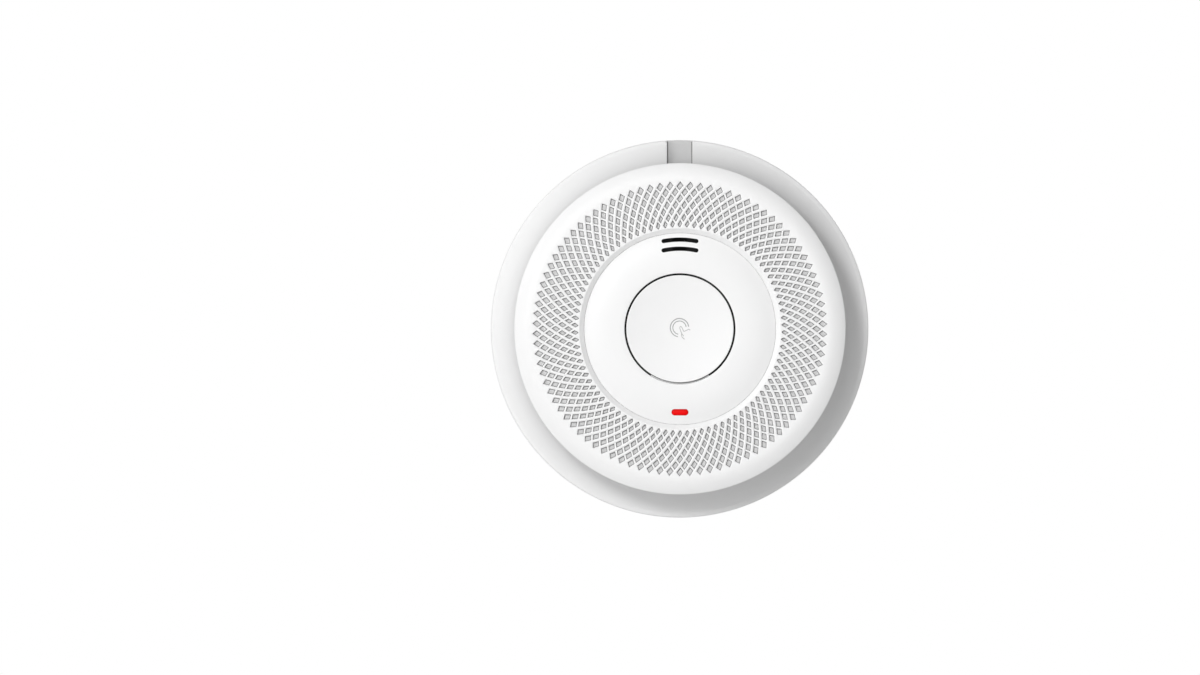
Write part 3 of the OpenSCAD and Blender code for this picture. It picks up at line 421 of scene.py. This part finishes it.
# The optical chamber is moulded in matt black so that no stray light reaches its sensor, behind a
# fine steel mesh. Lamp and sensor are cast in clear and in dark resin.
dress(matt_black_and_painted_gap_shade, "chamber_base", "chamber_cover")
dress(finish("mesh_steel", (0.42, 0.42, 0.43), 0.4, metal=1.0, scale=4000, depth=0.00008), "chamber_mesh")
dress(finish("resin_clear", (0.30, 0.38, 0.55), 0.12, depth=0.0, Coat_Weight=0.5), "infrared_emitter")
dress(finish("resin_dark", (0.015, 0.012, 0.025), 0.12, depth=0.0, Coat_Weight=0.5), "photodiode")

# The carbon monoxide cell is an ivory moulding on three plated pins, with a cloth filter under a
# pressed cap. The sounder is a brass disc with a fired ceramic layer, in a black resonator.
brass = finish("brass", (0.78, 0.58, 0.24), 0.3, metal=1.0, scale=1200, depth=0.000008)
dress(finish("ivory", (0.80, 0.78, 0.70), 0.35, depth=0.00001), "gas_cell_body")
cloth_black = finish("cloth_black", (0.03, 0.03, 0.03), 0.95, scale=1200, depth=0.0001)
# The sounder's black gauze is a cloth over its port and also painted shade: it lies behind the plate's
# slots so that they read black and the brass disc does not show.
dress(cloth_black, "gas_cell_filter", "sounder_gauze")
dress(tin, "gas_cell_cap")
dress(gold, "gas_cell_pins")
dress(brass, "sounder_disc")
dress(finish("ceramic_white", (0.78, 0.77, 0.72), 0.4, scale=1500, depth=0.00001), "sounder_ceramic")
dress(nickel, "sounder_contacts")
dress(matt_black_and_painted_gap_shade, "sounder_base", "sounder_cap", "inner_shroud")
dress(foam_grey, "sounder_gasket")


# ------------------------------------------------------------------ insect screen

# A ring of white plastic gauze, heat-staked behind the vents to keep insects out. Its threads cross
# square, 0.35 mm apart, and the holes between them are sunk and in shade.
GAUZE = 0.00035
WAVE_STEP = 2 * math.pi / 20  # how far apart a wave texture's bands lie at Scale 1
HOLE_SHADE, THREAD_SHADE = (0.82, 0.82, 0.82, 1), (0.96, 0.96, 0.96, 1)
screen_white = finish("screen_white", (0.90, 0.90, 0.90), 0.6, scale=3500, depth=0.0)
nodes, link = screen_white.node_tree.nodes, screen_white.node_tree.links.new
where, threads = nodes.new("ShaderNodeTexCoord"), []
for band in "XZ":
    wave = nodes.new("ShaderNodeTexWave")
    wave.wave_type, wave.bands_direction = "BANDS", band
    wave.inputs["Scale"].default_value = WAVE_STEP / GAUZE
    link(where.outputs["Object"], wave.inputs["Vector"])
    threads.append(wave)
weave = nodes.new("ShaderNodeMath")
weave.operation = "MAXIMUM"
for k, wave in enumerate(threads):
    link(wave.outputs["Fac"], weave.inputs[k])
shade = nodes.new("ShaderNodeMix")
shade.data_type = "RGBA"
shade.inputs[6].default_value, shade.inputs[7].default_value = HOLE_SHADE, THREAD_SHADE
link(weave.outputs[0], shade.inputs[0])
link(shade.outputs[2], nodes["Principled BSDF"].inputs["Base Color"])
dip = nodes.new("ShaderNodeBump")
dip.inputs["Distance"].default_value = 0.00004
dip.inputs["Strength"].default_value = 1
link(weave.outputs[0], dip.inputs["Height"])
link(dip.outputs["Normal"], nodes["Principled BSDF"].inputs["Normal"])
dress(screen_white, "insect_screen")


# ------------------------------------------------------------------ front cover

# A moulding with a rounded shoulder and a recess for the centre plate. Its flat band is cut into
# diamonds by two families of spiral ribs: the main ribs are wider and stand a little above the cross
# ribs. The walls of the vents taper inwards, are rough, and are given a mid grey as painted shade in the
# vents.
low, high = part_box("front_cover")
COVER_R = (high.x - low.x) / 2 / MM
cover_white = finish("cover_white", (0.93, 0.93, 0.93), 0.45, depth=0.000008, tint=0.004)
vent_wall_painted_shade = finish("vent_wall_painted_shade", (0.4, 0.4, 0.4), 0.75, depth=0.00002, tint=0.01)
FACE = -low.y / MM
WALL_FOOT = -high.y / MM
low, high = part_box("centre_plate")
PLATE_R = (high.x - low.x) / 2 / MM
VENTS, ROWS = 90, 7
LATTICE_OUT, LATTICE_IN, RING_R = 53.25, 35.1, PLATE_R + 2.1
GRILLE_T = 1.6
MAIN_RIB, CROSS_RIB, CROSS_DROP, VENT_DRAFT = 1.05, 0.68, 0.12, 0.22
PITCH = (LATTICE_OUT - LATTICE_IN) / (ROWS + 1)
HALF = 180 / VENTS
RIB_EDGE = ((0, 0), (0.8, 0), (1, -0.11))  # share of half a rib from its centre line, and height there
SHOULDER_IN, SHOULDER_R, COVER_WALL = 52.9, 12, 2
BACK = FACE - GRILLE_T
SHELF = FACE - CROSS_DROP + RIB_EDGE[2][1]


def shoulder(r):
    """Height of the cover's face at radius r: FACE inside SHOULDER_IN, then a circle's arc of radius
    SHOULDER_R that is level there."""
    out = np.clip(r - SHOULDER_IN, 0, SHOULDER_R - 1)
    return FACE - SHOULDER_R + np.sqrt(SHOULDER_R ** 2 - out ** 2)


def knot(rc, p, q, draft=0.0):
    """Point (r, a) of a grille cell's 6 x 6 grid, with a counted from the cell's middle.

    The cell is the square |u|, |v| <= 1 with r = rc + (u - v) / 2 * PITCH and a = (u + v) / 2 * HALF.
    Grid lines 0 to 2 and 5 to 3 cross a rib from its centre line to its edge: |u| = 1 - e * main / w
    and |v| = 1 - e * cross / w, where w is the width of a cell at the nearest corner. draft moves the
    edge lines further in by that many millimetres."""
    su, sv = (-1 if p < 3 else 1), (-1 if q < 3 else 1)
    half = max(rc + (su - sv) / 2 * PITCH, LATTICE_IN) * math.tan(math.radians(HALF))
    w = 2 * PITCH * half / math.hypot(PITCH, half)
    in_p, in_q = draft * (p in (2, 3)), draft * (q in (2, 3))
    u = su * (1 - (RIB_EDGE[min(p, 5 - p)][0] * MAIN_RIB + 2 * in_p) / w)
    v = sv * (1 - (RIB_EDGE[min(q, 5 - q)][0] * CROSS_RIB + 2 * in_q) / w)
    return rc + (u - v) / 2 * PITCH, (u + v) / 2 * HALF


def vent_cell(rc, solid_q=None):
    """Polygons (r, a, h) of one cell: the ribs round a vent, their walls and their backs. The main ribs
    stand at FACE and the cross ribs CROSS_DROP lower, but at the side solid_q, 0 or 5, where the cell
    meets the plain rim, the cross rib stands at FACE too."""
    dip = lambda k: RIB_EDGE[min(k, 5 - k)][1]
    plain = lambda q: solid_q is not None and abs(q - solid_q) < 2
    raised = lambda q: solid_q is not None and abs(q - solid_q) < 3
    main = lambda p, q: (*knot(rc, p, q), FACE + (0 if plain(q) else dip(p)))
    cross = lambda p, q: (*knot(rc, p, q), FACE + dip(q) - (0 if raised(q) else CROSS_DROP))
    shelf = lambda p, q: (*knot(rc, p, q), SHELF)
    back = lambda p, q: (*knot(rc, p, q, VENT_DRAFT), BACK)
    out = [[main(p, q), main(p + 1, q), main(p + 1, q + 1), main(p, q + 1)]
           for p in (0, 1, 3, 4) for q in range(5)]
    out += [[cross(2, q), cross(3, q), cross(3, q + 1), cross(2, q + 1)] for q in (0, 1, 3, 4)]
    for p in (2, 3):
        out += [[main(p, q), main(p, q + 1), cross(p, q + 1), cross(p, q)] for q in (0, 1, 3, 4)
                if not raised(q) or not raised(q + 1)]
        out += [[main(p, 2), main(p, 3), shelf(p, 3), shelf(p, 2)],
                [shelf(p, 2), shelf(p, 3), back(p, 3), back(p, 2)]]
    for q in (2, 3):
        out.append([shelf(2, q), shelf(3, q), back(3, q), back(2, q)])
        if raised(q):
            out.append([cross(2, q), cross(3, q), shelf(3, q), shelf(2, q)])
    coarse = ((0, 2), (2, 3), (3, 5))
    out += [[back(p0, q0), back(p1, q0), back(p1, q1), back(p0, q1)]
            for p0, p1 in coarse for q0, q1 in coarse if (p0, q0) != (2, 2)]
    return out


def filled_cell(rc, edge_q, rim):
    """Polygons of a half cell that is solid up to the face: its top and its back. rim holds the points
    (r, a) that close it."""
    along = range(6) if edge_q else range(5, -1, -1)
    side, step = [(5 - edge_q, q) for q in along], [(p, edge_q) for p in along]
    top = [(*knot(rc, *k), FACE) for k in side + step[1:]] + [(*k, FACE) for k in rim]
    coarse = [side[i] for i in (0, 2, 3, 5)] + [step[i] for i in (2, 3, 5)]
    back = [(*knot(rc, *k, VENT_DRAFT), BACK) for k in coarse] + [(*k, BACK) for k in rim]
    return [top, back]


def clipped(polygon, r_min):
    """The part of a polygon (r, a, h) where r >= r_min; an edge that crosses r_min is cut there."""
    out = []
    for here, there in zip(polygon, polygon[1:] + polygon[:1]):
        if here[0] >= r_min:
            out.append(here)
        if (here[0] - r_min) * (there[0] - r_min) < 0:
            t = (r_min - here[0]) / (there[0] - here[0])
            out.append((r_min, *[x + t * (y - x) for x, y in zip(here[1:], there[1:])]))
    return out


def grille_polygons():
    """Every polygon of the grille in metres: one cell per row, repeated round the axis."""
    rows = [(vent_cell(LATTICE_OUT - (row + 1) * PITCH, {0: 0, ROWS - 1: 5}.get(row)), row % 2 * HALF)
            for row in range(ROWS)]
    arc = [(LATTICE_OUT, HALF * t) for t in (0.5, 0, -0.5)]
    rows.append((filled_cell(LATTICE_OUT, 5, arc), HALF))
    rows.append((filled_cell(LATTICE_IN, 0, []), (ROWS - 1) % 2 * HALF + HALF))
    out = []
    for polygons, shift in rows:
        for polygon in polygons:
            ring = np.array(clipped(polygon, RING_R)).reshape(-1, 3)
            if len(ring) >= 3:
                turns = 90 + shift + np.arange(VENTS) * 2 * HALF
                out.extend(place(ring[:, 0], ring[:, 1] + turns[:, None], ring[:, 2]))
    return out


def line_walls(piece, material, steep):
    """Gives the walls of a piece a second material: the faces whose normal n has |n.y| < steep."""
    piece.data.materials.append(material)
    looks_at = np.zeros(3 * len(piece.data.polygons))
    piece.data.polygons.foreach_get("normal", looks_at)
    piece.data.polygons.foreach_set("material_index", (np.abs(looks_at[1::3]) < steep).astype(np.int32))


points, faces = weld(grille_polygons())
grille = make("cover_grille", points, faces, "head", cover_white, 50)
face_outwards(grille)
# The vents' walls get the mid grey: painted shade in the vents.
line_walls(grille, vent_wall_painted_shade, 0.5)

arc_r = np.linspace(COVER_R - 0.7, LATTICE_OUT, 16)
wall_in = COVER_R - COVER_WALL
wall_profile = rounded([(LATTICE_OUT, BACK, 0), (wall_in - 1.8, BACK, 0.8), (wall_in, BACK - 1.6, 0.8),
                        (wall_in, WALL_FOOT, 0.2), (COVER_R, WALL_FOOT, 0.3),
                        (COVER_R, shoulder(COVER_R), 0.5)] + [(r, shoulder(r), 0) for r in arc_r])
cover_wall = turned("cover_wall", wall_profile, "head", cover_white)

PLATE_RIM = FACE - 1.3
LEDGE, LEDGE_T = PLATE_RIM - 2, 1.5
recess, ledge_in = PLATE_R + 0.06, PLATE_R - 1.3
cover_ring = turned("cover_ring", rounded([
    (RING_R, LEDGE - LEDGE_T, 0), (RING_R, FACE, 0), (PLATE_R + 1.7, FACE, 0.12), (recess, PLATE_RIM, 0.05),
    (recess, LEDGE, 0), (ledge_in, LEDGE, 0), (ledge_in, LEDGE - LEDGE_T, 0)]), "head", cover_white)
for piece in (grille, cover_wall, cover_ring):
    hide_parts("front_cover")


# ------------------------------------------------------------------ centre plate

# A disc that is flat round the button and falls towards its rim, with two curved slots for the
# sounder and the window of the status lens cut through it. Its walls, round the holes and at its rim, are
# black: painted shade in the slots and the gaps.
low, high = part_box("test_button")
BUTTON_R = (high.x - low.x) / 2 / MM
BUTTON_GAP = 0.6
HOLE_R = BUTTON_R + BUTTON_GAP
FLAT_R = HOLE_R + 2.2  # the plate is level inside it
PLATE_TOP, PLATE_FALL, PLATE_T = FACE - 0.1, 1.2, 2
SLOT_RADII, SLOT_W, SLOT_L = (PLATE_R - 5.6, PLATE_R - 2.35), 1.5, 13.2
LENS_Z, LENS_L, LENS_W = -(PLATE_R - 4.4), 6.1, 2.3


def plate_top(r):
    """Height of the centre plate: PLATE_TOP inside FLAT_R, then lower by PLATE_FALL times the cube of t,
    with t = 0 there and 1 at the rim."""
    t = np.clip((np.asarray(r, float) - FLAT_R) / (PLATE_R - FLAT_R), 0, 1)
    return PLATE_TOP - PLATE_FALL * t ** 3


def stadium(length, width, n=14):
    """Outline of a slot with round ends along x, anticlockwise, as points (2n, 2) in millimetres."""
    t = np.radians(np.linspace(-90, 90, n))
    right = np.stack([(length - width) / 2 + width / 2 * np.cos(t), width / 2 * np.sin(t)], -1)
    return np.concatenate([right, -right])


def slot_outline(r, a, half, w, n=40, m=10):
    """Outline of a slot that follows the circle r for half degrees either side of a, with round ends,
    anticlockwise, as points in millimetres."""
    def arc(cx, cz, radius, start, end, count):
        t = np.radians(np.linspace(start, end, count))
        return np.stack([cx + radius * np.cos(t), cz + radius * np.sin(t)], -1)
    ends = [(r * math.cos(math.radians(b)), r * math.sin(math.radians(b))) for b in (a - half, a + half)]
    return np.concatenate([arc(0, 0, r + w / 2, a - half, a + half, n),
                           arc(*ends[1], w / 2, a + half, a + half + 180, m)[1:-1],
                           arc(0, 0, r - w / 2, a + half, a - half, n),
                           arc(*ends[0], w / 2, a - half + 180, a - half + 360, m)[1:-1]])


def prism(name, outline, h0, h1, body, material):
    """Solid between heights h0 and h1 whose section is an anticlockwise outline in millimetres."""
    n = len(outline)
    points = np.concatenate([flat(outline[:, 0], outline[:, 1], h) for h in (h0, h1)])
    sides = [(i, (i + 1) % n, n + (i + 1) % n, n + i) for i in range(n)]
    return make(name, points, sides + [range(n, 2 * n), range(n - 1, -1, -1)], body, material)


def cut(piece, cutters):
    """Cuts the cutters out of a piece for good, and removes them."""
    for cutter in cutters:
        modifier = piece.modifiers.new("cut", "BOOLEAN")
        modifier.operation = "DIFFERENCE"
        modifier.object = cutter
        modifier.solver = "EXACT"
    done = bpy.data.meshes.new_from_object(piece.evaluated_get(bpy.context.evaluated_depsgraph_get()))
    piece.modifiers.clear()
    piece.data = done
    done.shade_smooth()
    done.set_sharp_from_angle(angle=math.radians(SHARP))
    for cutter in cutters:
        bpy.data.objects.remove(cutter)


radii = np.linspace(PLATE_R - 0.3, FLAT_R, 28)
top = plate_top(PLATE_R)
plate_profile = rounded([(HOLE_R, PLATE_TOP - PLATE_T, 0), (PLATE_R, top - PLATE_T, 0),
                         (PLATE_R, top, 0.15)] + [(r, plate_top(r), 0) for r in radii]
                        + [(HOLE_R, PLATE_TOP, 0.2)])
plate = turned("plate_disc", plate_profile, "head", cover_white, steps=240)
half_slot = [math.degrees(math.asin((SLOT_L - SLOT_W) / 2 / r)) for r in SLOT_RADII]
outlines = [slot_outline(r, 90, half, SLOT_W) for r, half in zip(SLOT_RADII, half_slot)]
outlines.append(stadium(LENS_L, LENS_W) + [0, LENS_Z])
cut(plate, [prism("cutter", outline, FACE - 5, FACE + 2, None, cover_white) for outline in outlines])
# The steep walls go black: painted shade in the slots, the lens window and the gap round the button.
line_walls(plate, matt_black_and_painted_gap_shade, 0.5)

# The shelf that closes the gap over the button's hinge, at six o'clock
ARC_HALF, ARC_TOP, ARC_BACK, n = 32, FACE - 1.8, FACE - 2.3, 49
angles = np.linspace(270 - ARC_HALF, 270 + ARC_HALF, n)
arc_in, arc_out = HOLE_R - 0.45, HOLE_R + 0.4
corners = ((arc_in, ARC_BACK), (arc_out, ARC_BACK), (arc_out, ARC_TOP), (arc_in, ARC_TOP))
rows = np.concatenate([place(r, angles, h) for r, h in corners])
caps = [np.arange(4)[::-1] * n, np.arange(4) * n + n - 1]
plate_shelf = make("plate_shelf", rows, list(quads_of(4, n, wrap_rows=True, flip=True)) + caps,
                   "head", cover_white)
face_outwards(plate_shelf)
for piece in (plate, plate_shelf):
    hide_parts("centre_plate")


# ------------------------------------------------------------------ test button

# A shallow round dish in the cover's white ABS, in a thin gap in the plate. The wall of its rim, which
# faces the gap, is black as painted shade in the gap. It rocks on two pins behind its six o'clock edge.
DISH, BUTTON_BACK = 0.9, FACE - 2.4
radii = np.linspace(BUTTON_R - 0.5, 0, 24)


def button_top(r):
    """Height of the dished button: PLATE_TOP at its rim, DISH lower at its middle, as r squared."""
    return PLATE_TOP - DISH * (1 - (np.asarray(r, float) / BUTTON_R) ** 2)


button_profile = rounded([(0, BUTTON_BACK, 0), (BUTTON_R, BUTTON_BACK, 0.2), (BUTTON_R, PLATE_TOP, 0.35)]
                         + [(r, button_top(r), 0) for r in radii])
button = turned("button_disc", button_profile, "button", cover_white, steps=240)
# The rim's wall goes black: painted shade in the gap round the button.
line_walls(button, matt_black_and_painted_gap_shade, 0.5)

# Its arm, hinge barrel, pins and the stem that meets the switch are one moulding with the disc.
HINGE_Z, HINGE_H = -(HOLE_R + 3), 41.0
ARM_HALF, ARM_BACK = 7, 41.1  # half the arm's width, and the height of its back
STEM_R, STEM_TIP = 2.0, 32.76


def crosswise(z, h0):
    """Mount for turned(): its axis runs along +X through z and h0."""
    def points(r, a, x):
        r, a, x = np.broadcast_arrays(np.asarray(r, float), np.radians(a), np.asarray(x, float))
        return flat(x, z + r * np.cos(a), h0 + r * np.sin(a))
    return points


moulded = [button]
for name, z, top in (("button_arm", (HINGE_Z, 6 - BUTTON_R), 42.3),
                     ("button_foot", (1.2 - BUTTON_R, 5.4 - BUTTON_R), 42.65)):
    outline = np.array([(-ARM_HALF, z[0]), (ARM_HALF, z[0]), (ARM_HALF, z[1]), (-ARM_HALF, z[1])])
    moulded.append(prism(name, outline, ARM_BACK, top, "button", cover_white))
for name, r, half in (("button_barrel", 1.3, 7.0), ("button_pins", 0.8, 9.6)):
    rod = rounded([(0, -half, 0), (r, -half, 0.15), (r, half, 0.15), (0, half, 0)])
    moulded.append(turned(name, rod, "button", cover_white, 32, crosswise(HINGE_Z, HINGE_H)))
    face_outwards(moulded[-1])
t = np.radians(np.linspace(-90, 0, 9))
tip = np.stack([STEM_R * np.cos(t), STEM_TIP + STEM_R + STEM_R * np.sin(t)], -1)
tip[0, 0] = 0
stem_profile = np.concatenate([tip, [[STEM_R, BUTTON_BACK + 0.1], [0, BUTTON_BACK + 0.1]]])
moulded.append(turned("button_stem", stem_profile, "button", cover_white, 32))
for piece in moulded:
    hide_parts("test_button")


# ------------------------------------------------------------------ mark on the button

# Pad-printed in thin grey ink: two open rings and a pointing hand, the plain mark for "press here".
ink_grey = finish("ink_grey", (0.40, 0.40, 0.40), 0.6, depth=0.0, tint=0.0)
ink_pale = finish("ink_pale", (0.52, 0.52, 0.52), 0.6, depth=0.0, tint=0.0)
MARK_AT, LINE, FINE_LINE, INK, SUNK = np.array([-0.16, 0.4]), 0.36, 0.27, 0.02, -0.05


def printed_line(name, path, width, material):
    """Film of ink along a path (n, 2) in millimetres about the mark's middle: width across, narrowed to
    half at its ends, a third of a width past the path. It reaches from SUNK to INK above the dish."""
    path = np.asarray(path, float)
    way = np.gradient(path, axis=0)
    way /= np.linalg.norm(way, axis=1)[:, None]
    path = np.concatenate([[path[0] - way[0] * width / 3], path, [path[-1] + way[-1] * width / 3]])
    way = np.concatenate([way[:1], way, way[-1:]])
    side = np.stack([-way[:, 1], way[:, 0]], -1) * width / 2
    side[[0, -1]] *= 0.5
    left, right = path + side + MARK_AT, path - side + MARK_AT
    rows = [flat(p[:, 0], p[:, 1], button_top(np.hypot(p[:, 0], p[:, 1])) + lift)
            for p, lift in ((left, SUNK), (left, INK), (right, INK), (right, SUNK))]
    n = len(path)
    caps = [range(4), range(4 * n - 1, 4 * n - 5, -1)]
    piece = make(name, np.stack(rows, 1), list(quads_of(n, 4, wrap_columns=True)) + caps,
                 "button", material)
    face_outwards(piece)


def ring_line(r, a0, a1, n=60):
    """Points of a circular arc about the mark's middle."""
    a = np.radians(np.linspace(a0, a1, n))
    return np.stack([r * np.cos(a), r * np.sin(a)], -1)


def smooth_line(knots, n=12):
    """Curve through the knots (Catmull-Rom): each span blends its four nearest knots with cubics."""
    p = np.asarray(knots, float)
    p = np.concatenate([[2 * p[0] - p[1]], p, [2 * p[-1] - p[-2]]])
    t = np.linspace(0, 1, n, endpoint=False)[:, None]
    spans = [0.5 * (2 * b + (c - a) * t + (2 * a - 5 * b + 4 * c - d) * t ** 2
                    + (3 * b - a - 3 * c + d) * t ** 3)
             for a, b, c, d in zip(p, p[1:], p[2:], p[3:])]
    return np.concatenate(spans + [p[-2:-1]])


printed_line("mark_ring_outer", ring_line(3.26, 8, 258), LINE, ink_grey)
printed_line("mark_ring_inner", ring_line(2.38, 10, 256), LINE * 0.9, ink_grey)
for name, knots in (
        ("mark_finger", [(1.5, -3.0), (1.0, -2.4), (0.64, -1.75), (0.35, -0.9), (0.1, -0.15), (0.2, 0.32),
                         (0.55, 0.4), (0.88, 0.0), (1.2, -0.7), (1.55, -1.4)]),
        ("mark_knuckles", [(1.75, -1.3), (2.2, -1.08), (2.75, -0.82), (3.3, -0.56), (3.75, -0.82)]),
        ("mark_thumb", [(0.85, -2.05), (0.72, -2.6), (1.0, -3.4), (1.75, -4.1)])):
    printed_line(name, smooth_line(knots), FINE_LINE, ink_pale)


# ------------------------------------------------------------------ status lens

# The light pipe is moulded in deep red polycarbonate. Its lens fills the window in the plate: flat on
# top, with an edge that falls steeply into the window all round, where a dark red stands in as painted
# shade.
lens_red = finish("lens_red", (0.93, 0.0, 0.0), 0.35, depth=0.0, tint=0.01, variation=0.02,
                  Specular_IOR_Level=0.08)
lens_edge_painted_shade = finish("lens_edge_painted_shade", (0.22, 0.0, 0.0), 0.4, depth=0.0, tint=0.01)
dress(lens_red, "light_pipe")

# Its section from the edge inwards: the inset from the window's outline, and the height above the plate
inset = np.array([0.08, 0.08, 0.12, 0.22, 0.34, 0.42, 0.6, 0.8, 1.0])
fall = np.array([-1.2, -0.62, -0.48, -0.24, -0.05, 0.0, 0.03, 0.05, 0.06])
top = float(plate_top(abs(LENS_Z)))
rings = [flat(*(stadium(LENS_L - 2 * i, LENS_W - 2 * i) + [0, LENS_Z]).T, top + h)
         for i, h in zip(inset, fall)]
n = len(rings[0])
lens = make("status_lens", np.stack(rings), list(quads_of(len(rings), n, wrap_columns=True))
            + [np.arange(n)[::-1], np.arange(n) + (len(rings) - 1) * n], "head", lens_red, 50)
face_outwards(lens)
# The steep edge gets the dark red: painted shade.
line_walls(lens, lens_edge_painted_shade, 0.8)


# ------------------------------------------------------------------ camera, floor and light

# The camera looks square on from 8 m. It stands left of the alarm's axis, so the alarm lies right of
# the frame's middle.
camera = bpy.data.objects.new("camera", bpy.data.cameras.new("camera"))
scene.collection.objects.link(camera)
camera.location = (-0.0285, -8.0, -0.0031)
camera.rotation_euler = (math.radians(90), 0, 0)
camera.data.lens = 669.5
camera.data.clip_end = 50
scene.camera = camera

floor_mesh = bpy.data.meshes.new("floor")
floor_mesh.from_pydata([(-6, -9, -0.25), (6, -9, -0.25), (6, 6, -0.25), (-6, 6, -0.25)], [], [(0, 1, 2, 3)])
floor = bpy.data.objects.new("floor", floor_mesh)
scene.collection.objects.link(floor)
floor_mesh.materials.append(finish("floor_pale", (0.8, 0.8, 0.8), 0.8, depth=0.0, tint=0.01))

# The backdrop looks white to the camera and in reflections, and lights the alarm only softly
world = bpy.data.worlds.new("studio")
scene.world = world
world.use_nodes = True
nodes, link = world.node_tree.nodes, world.node_tree.links.new
seen = nodes.new("ShaderNodeLightPath")
ray = seen.outputs["Is Camera Ray"]
for kind in ("Is Glossy Ray", "Is Transmission Ray"):
    either = nodes.new("ShaderNodeMath")
    either.operation = "MAXIMUM"
    link(ray, either.inputs[0])
    link(seen.outputs[kind], either.inputs[1])
    ray = either.outputs[0]
AMBIENT = 0.22
level = nodes.new("ShaderNodeMapRange")
level.inputs["To Min"].default_value = AMBIENT
level.inputs["To Max"].default_value = 1.0
link(ray, level.inputs["Value"])
link(level.outputs[0], nodes["Background"].inputs["Strength"])
nodes["Background"].inputs["Color"].default_value = (1, 1, 1, 1)

# Five soft lights: a small key in front from the upper left, a wider one beside it, weaker ones from
# the left and from above, and one behind for the other views
MIDDLE = Vector((0, -0.04, 0))


def panel(name, at, size, power):
    """Soft light: a square panel of the given size that looks at the alarm's middle."""
    data = bpy.data.lights.new(name, "AREA")
    data.size = size
    data.energy = power
    lamp = bpy.data.objects.new(name, data)
    scene.collection.objects.link(lamp)
    lamp.location = at
    lamp.rotation_euler = (MIDDLE - Vector(at)).to_track_quat("-Z", "Y").to_euler()


panel("key", (-0.5, -2.4, 0.5), 0.3, 16.5)
panel("front", (-0.35, -2.4, 0.35), 0.9, 11)
panel("left", (-1.7, -1.2, 0.5), 1.0, 5.3)
panel("top", (-1.3, -0.6, 1.2), 0.9, 5.8)
panel("behind", (0.9, 1.8, 0.7), 1.2, 14)

scene.view_settings.view_transform = "Standard"
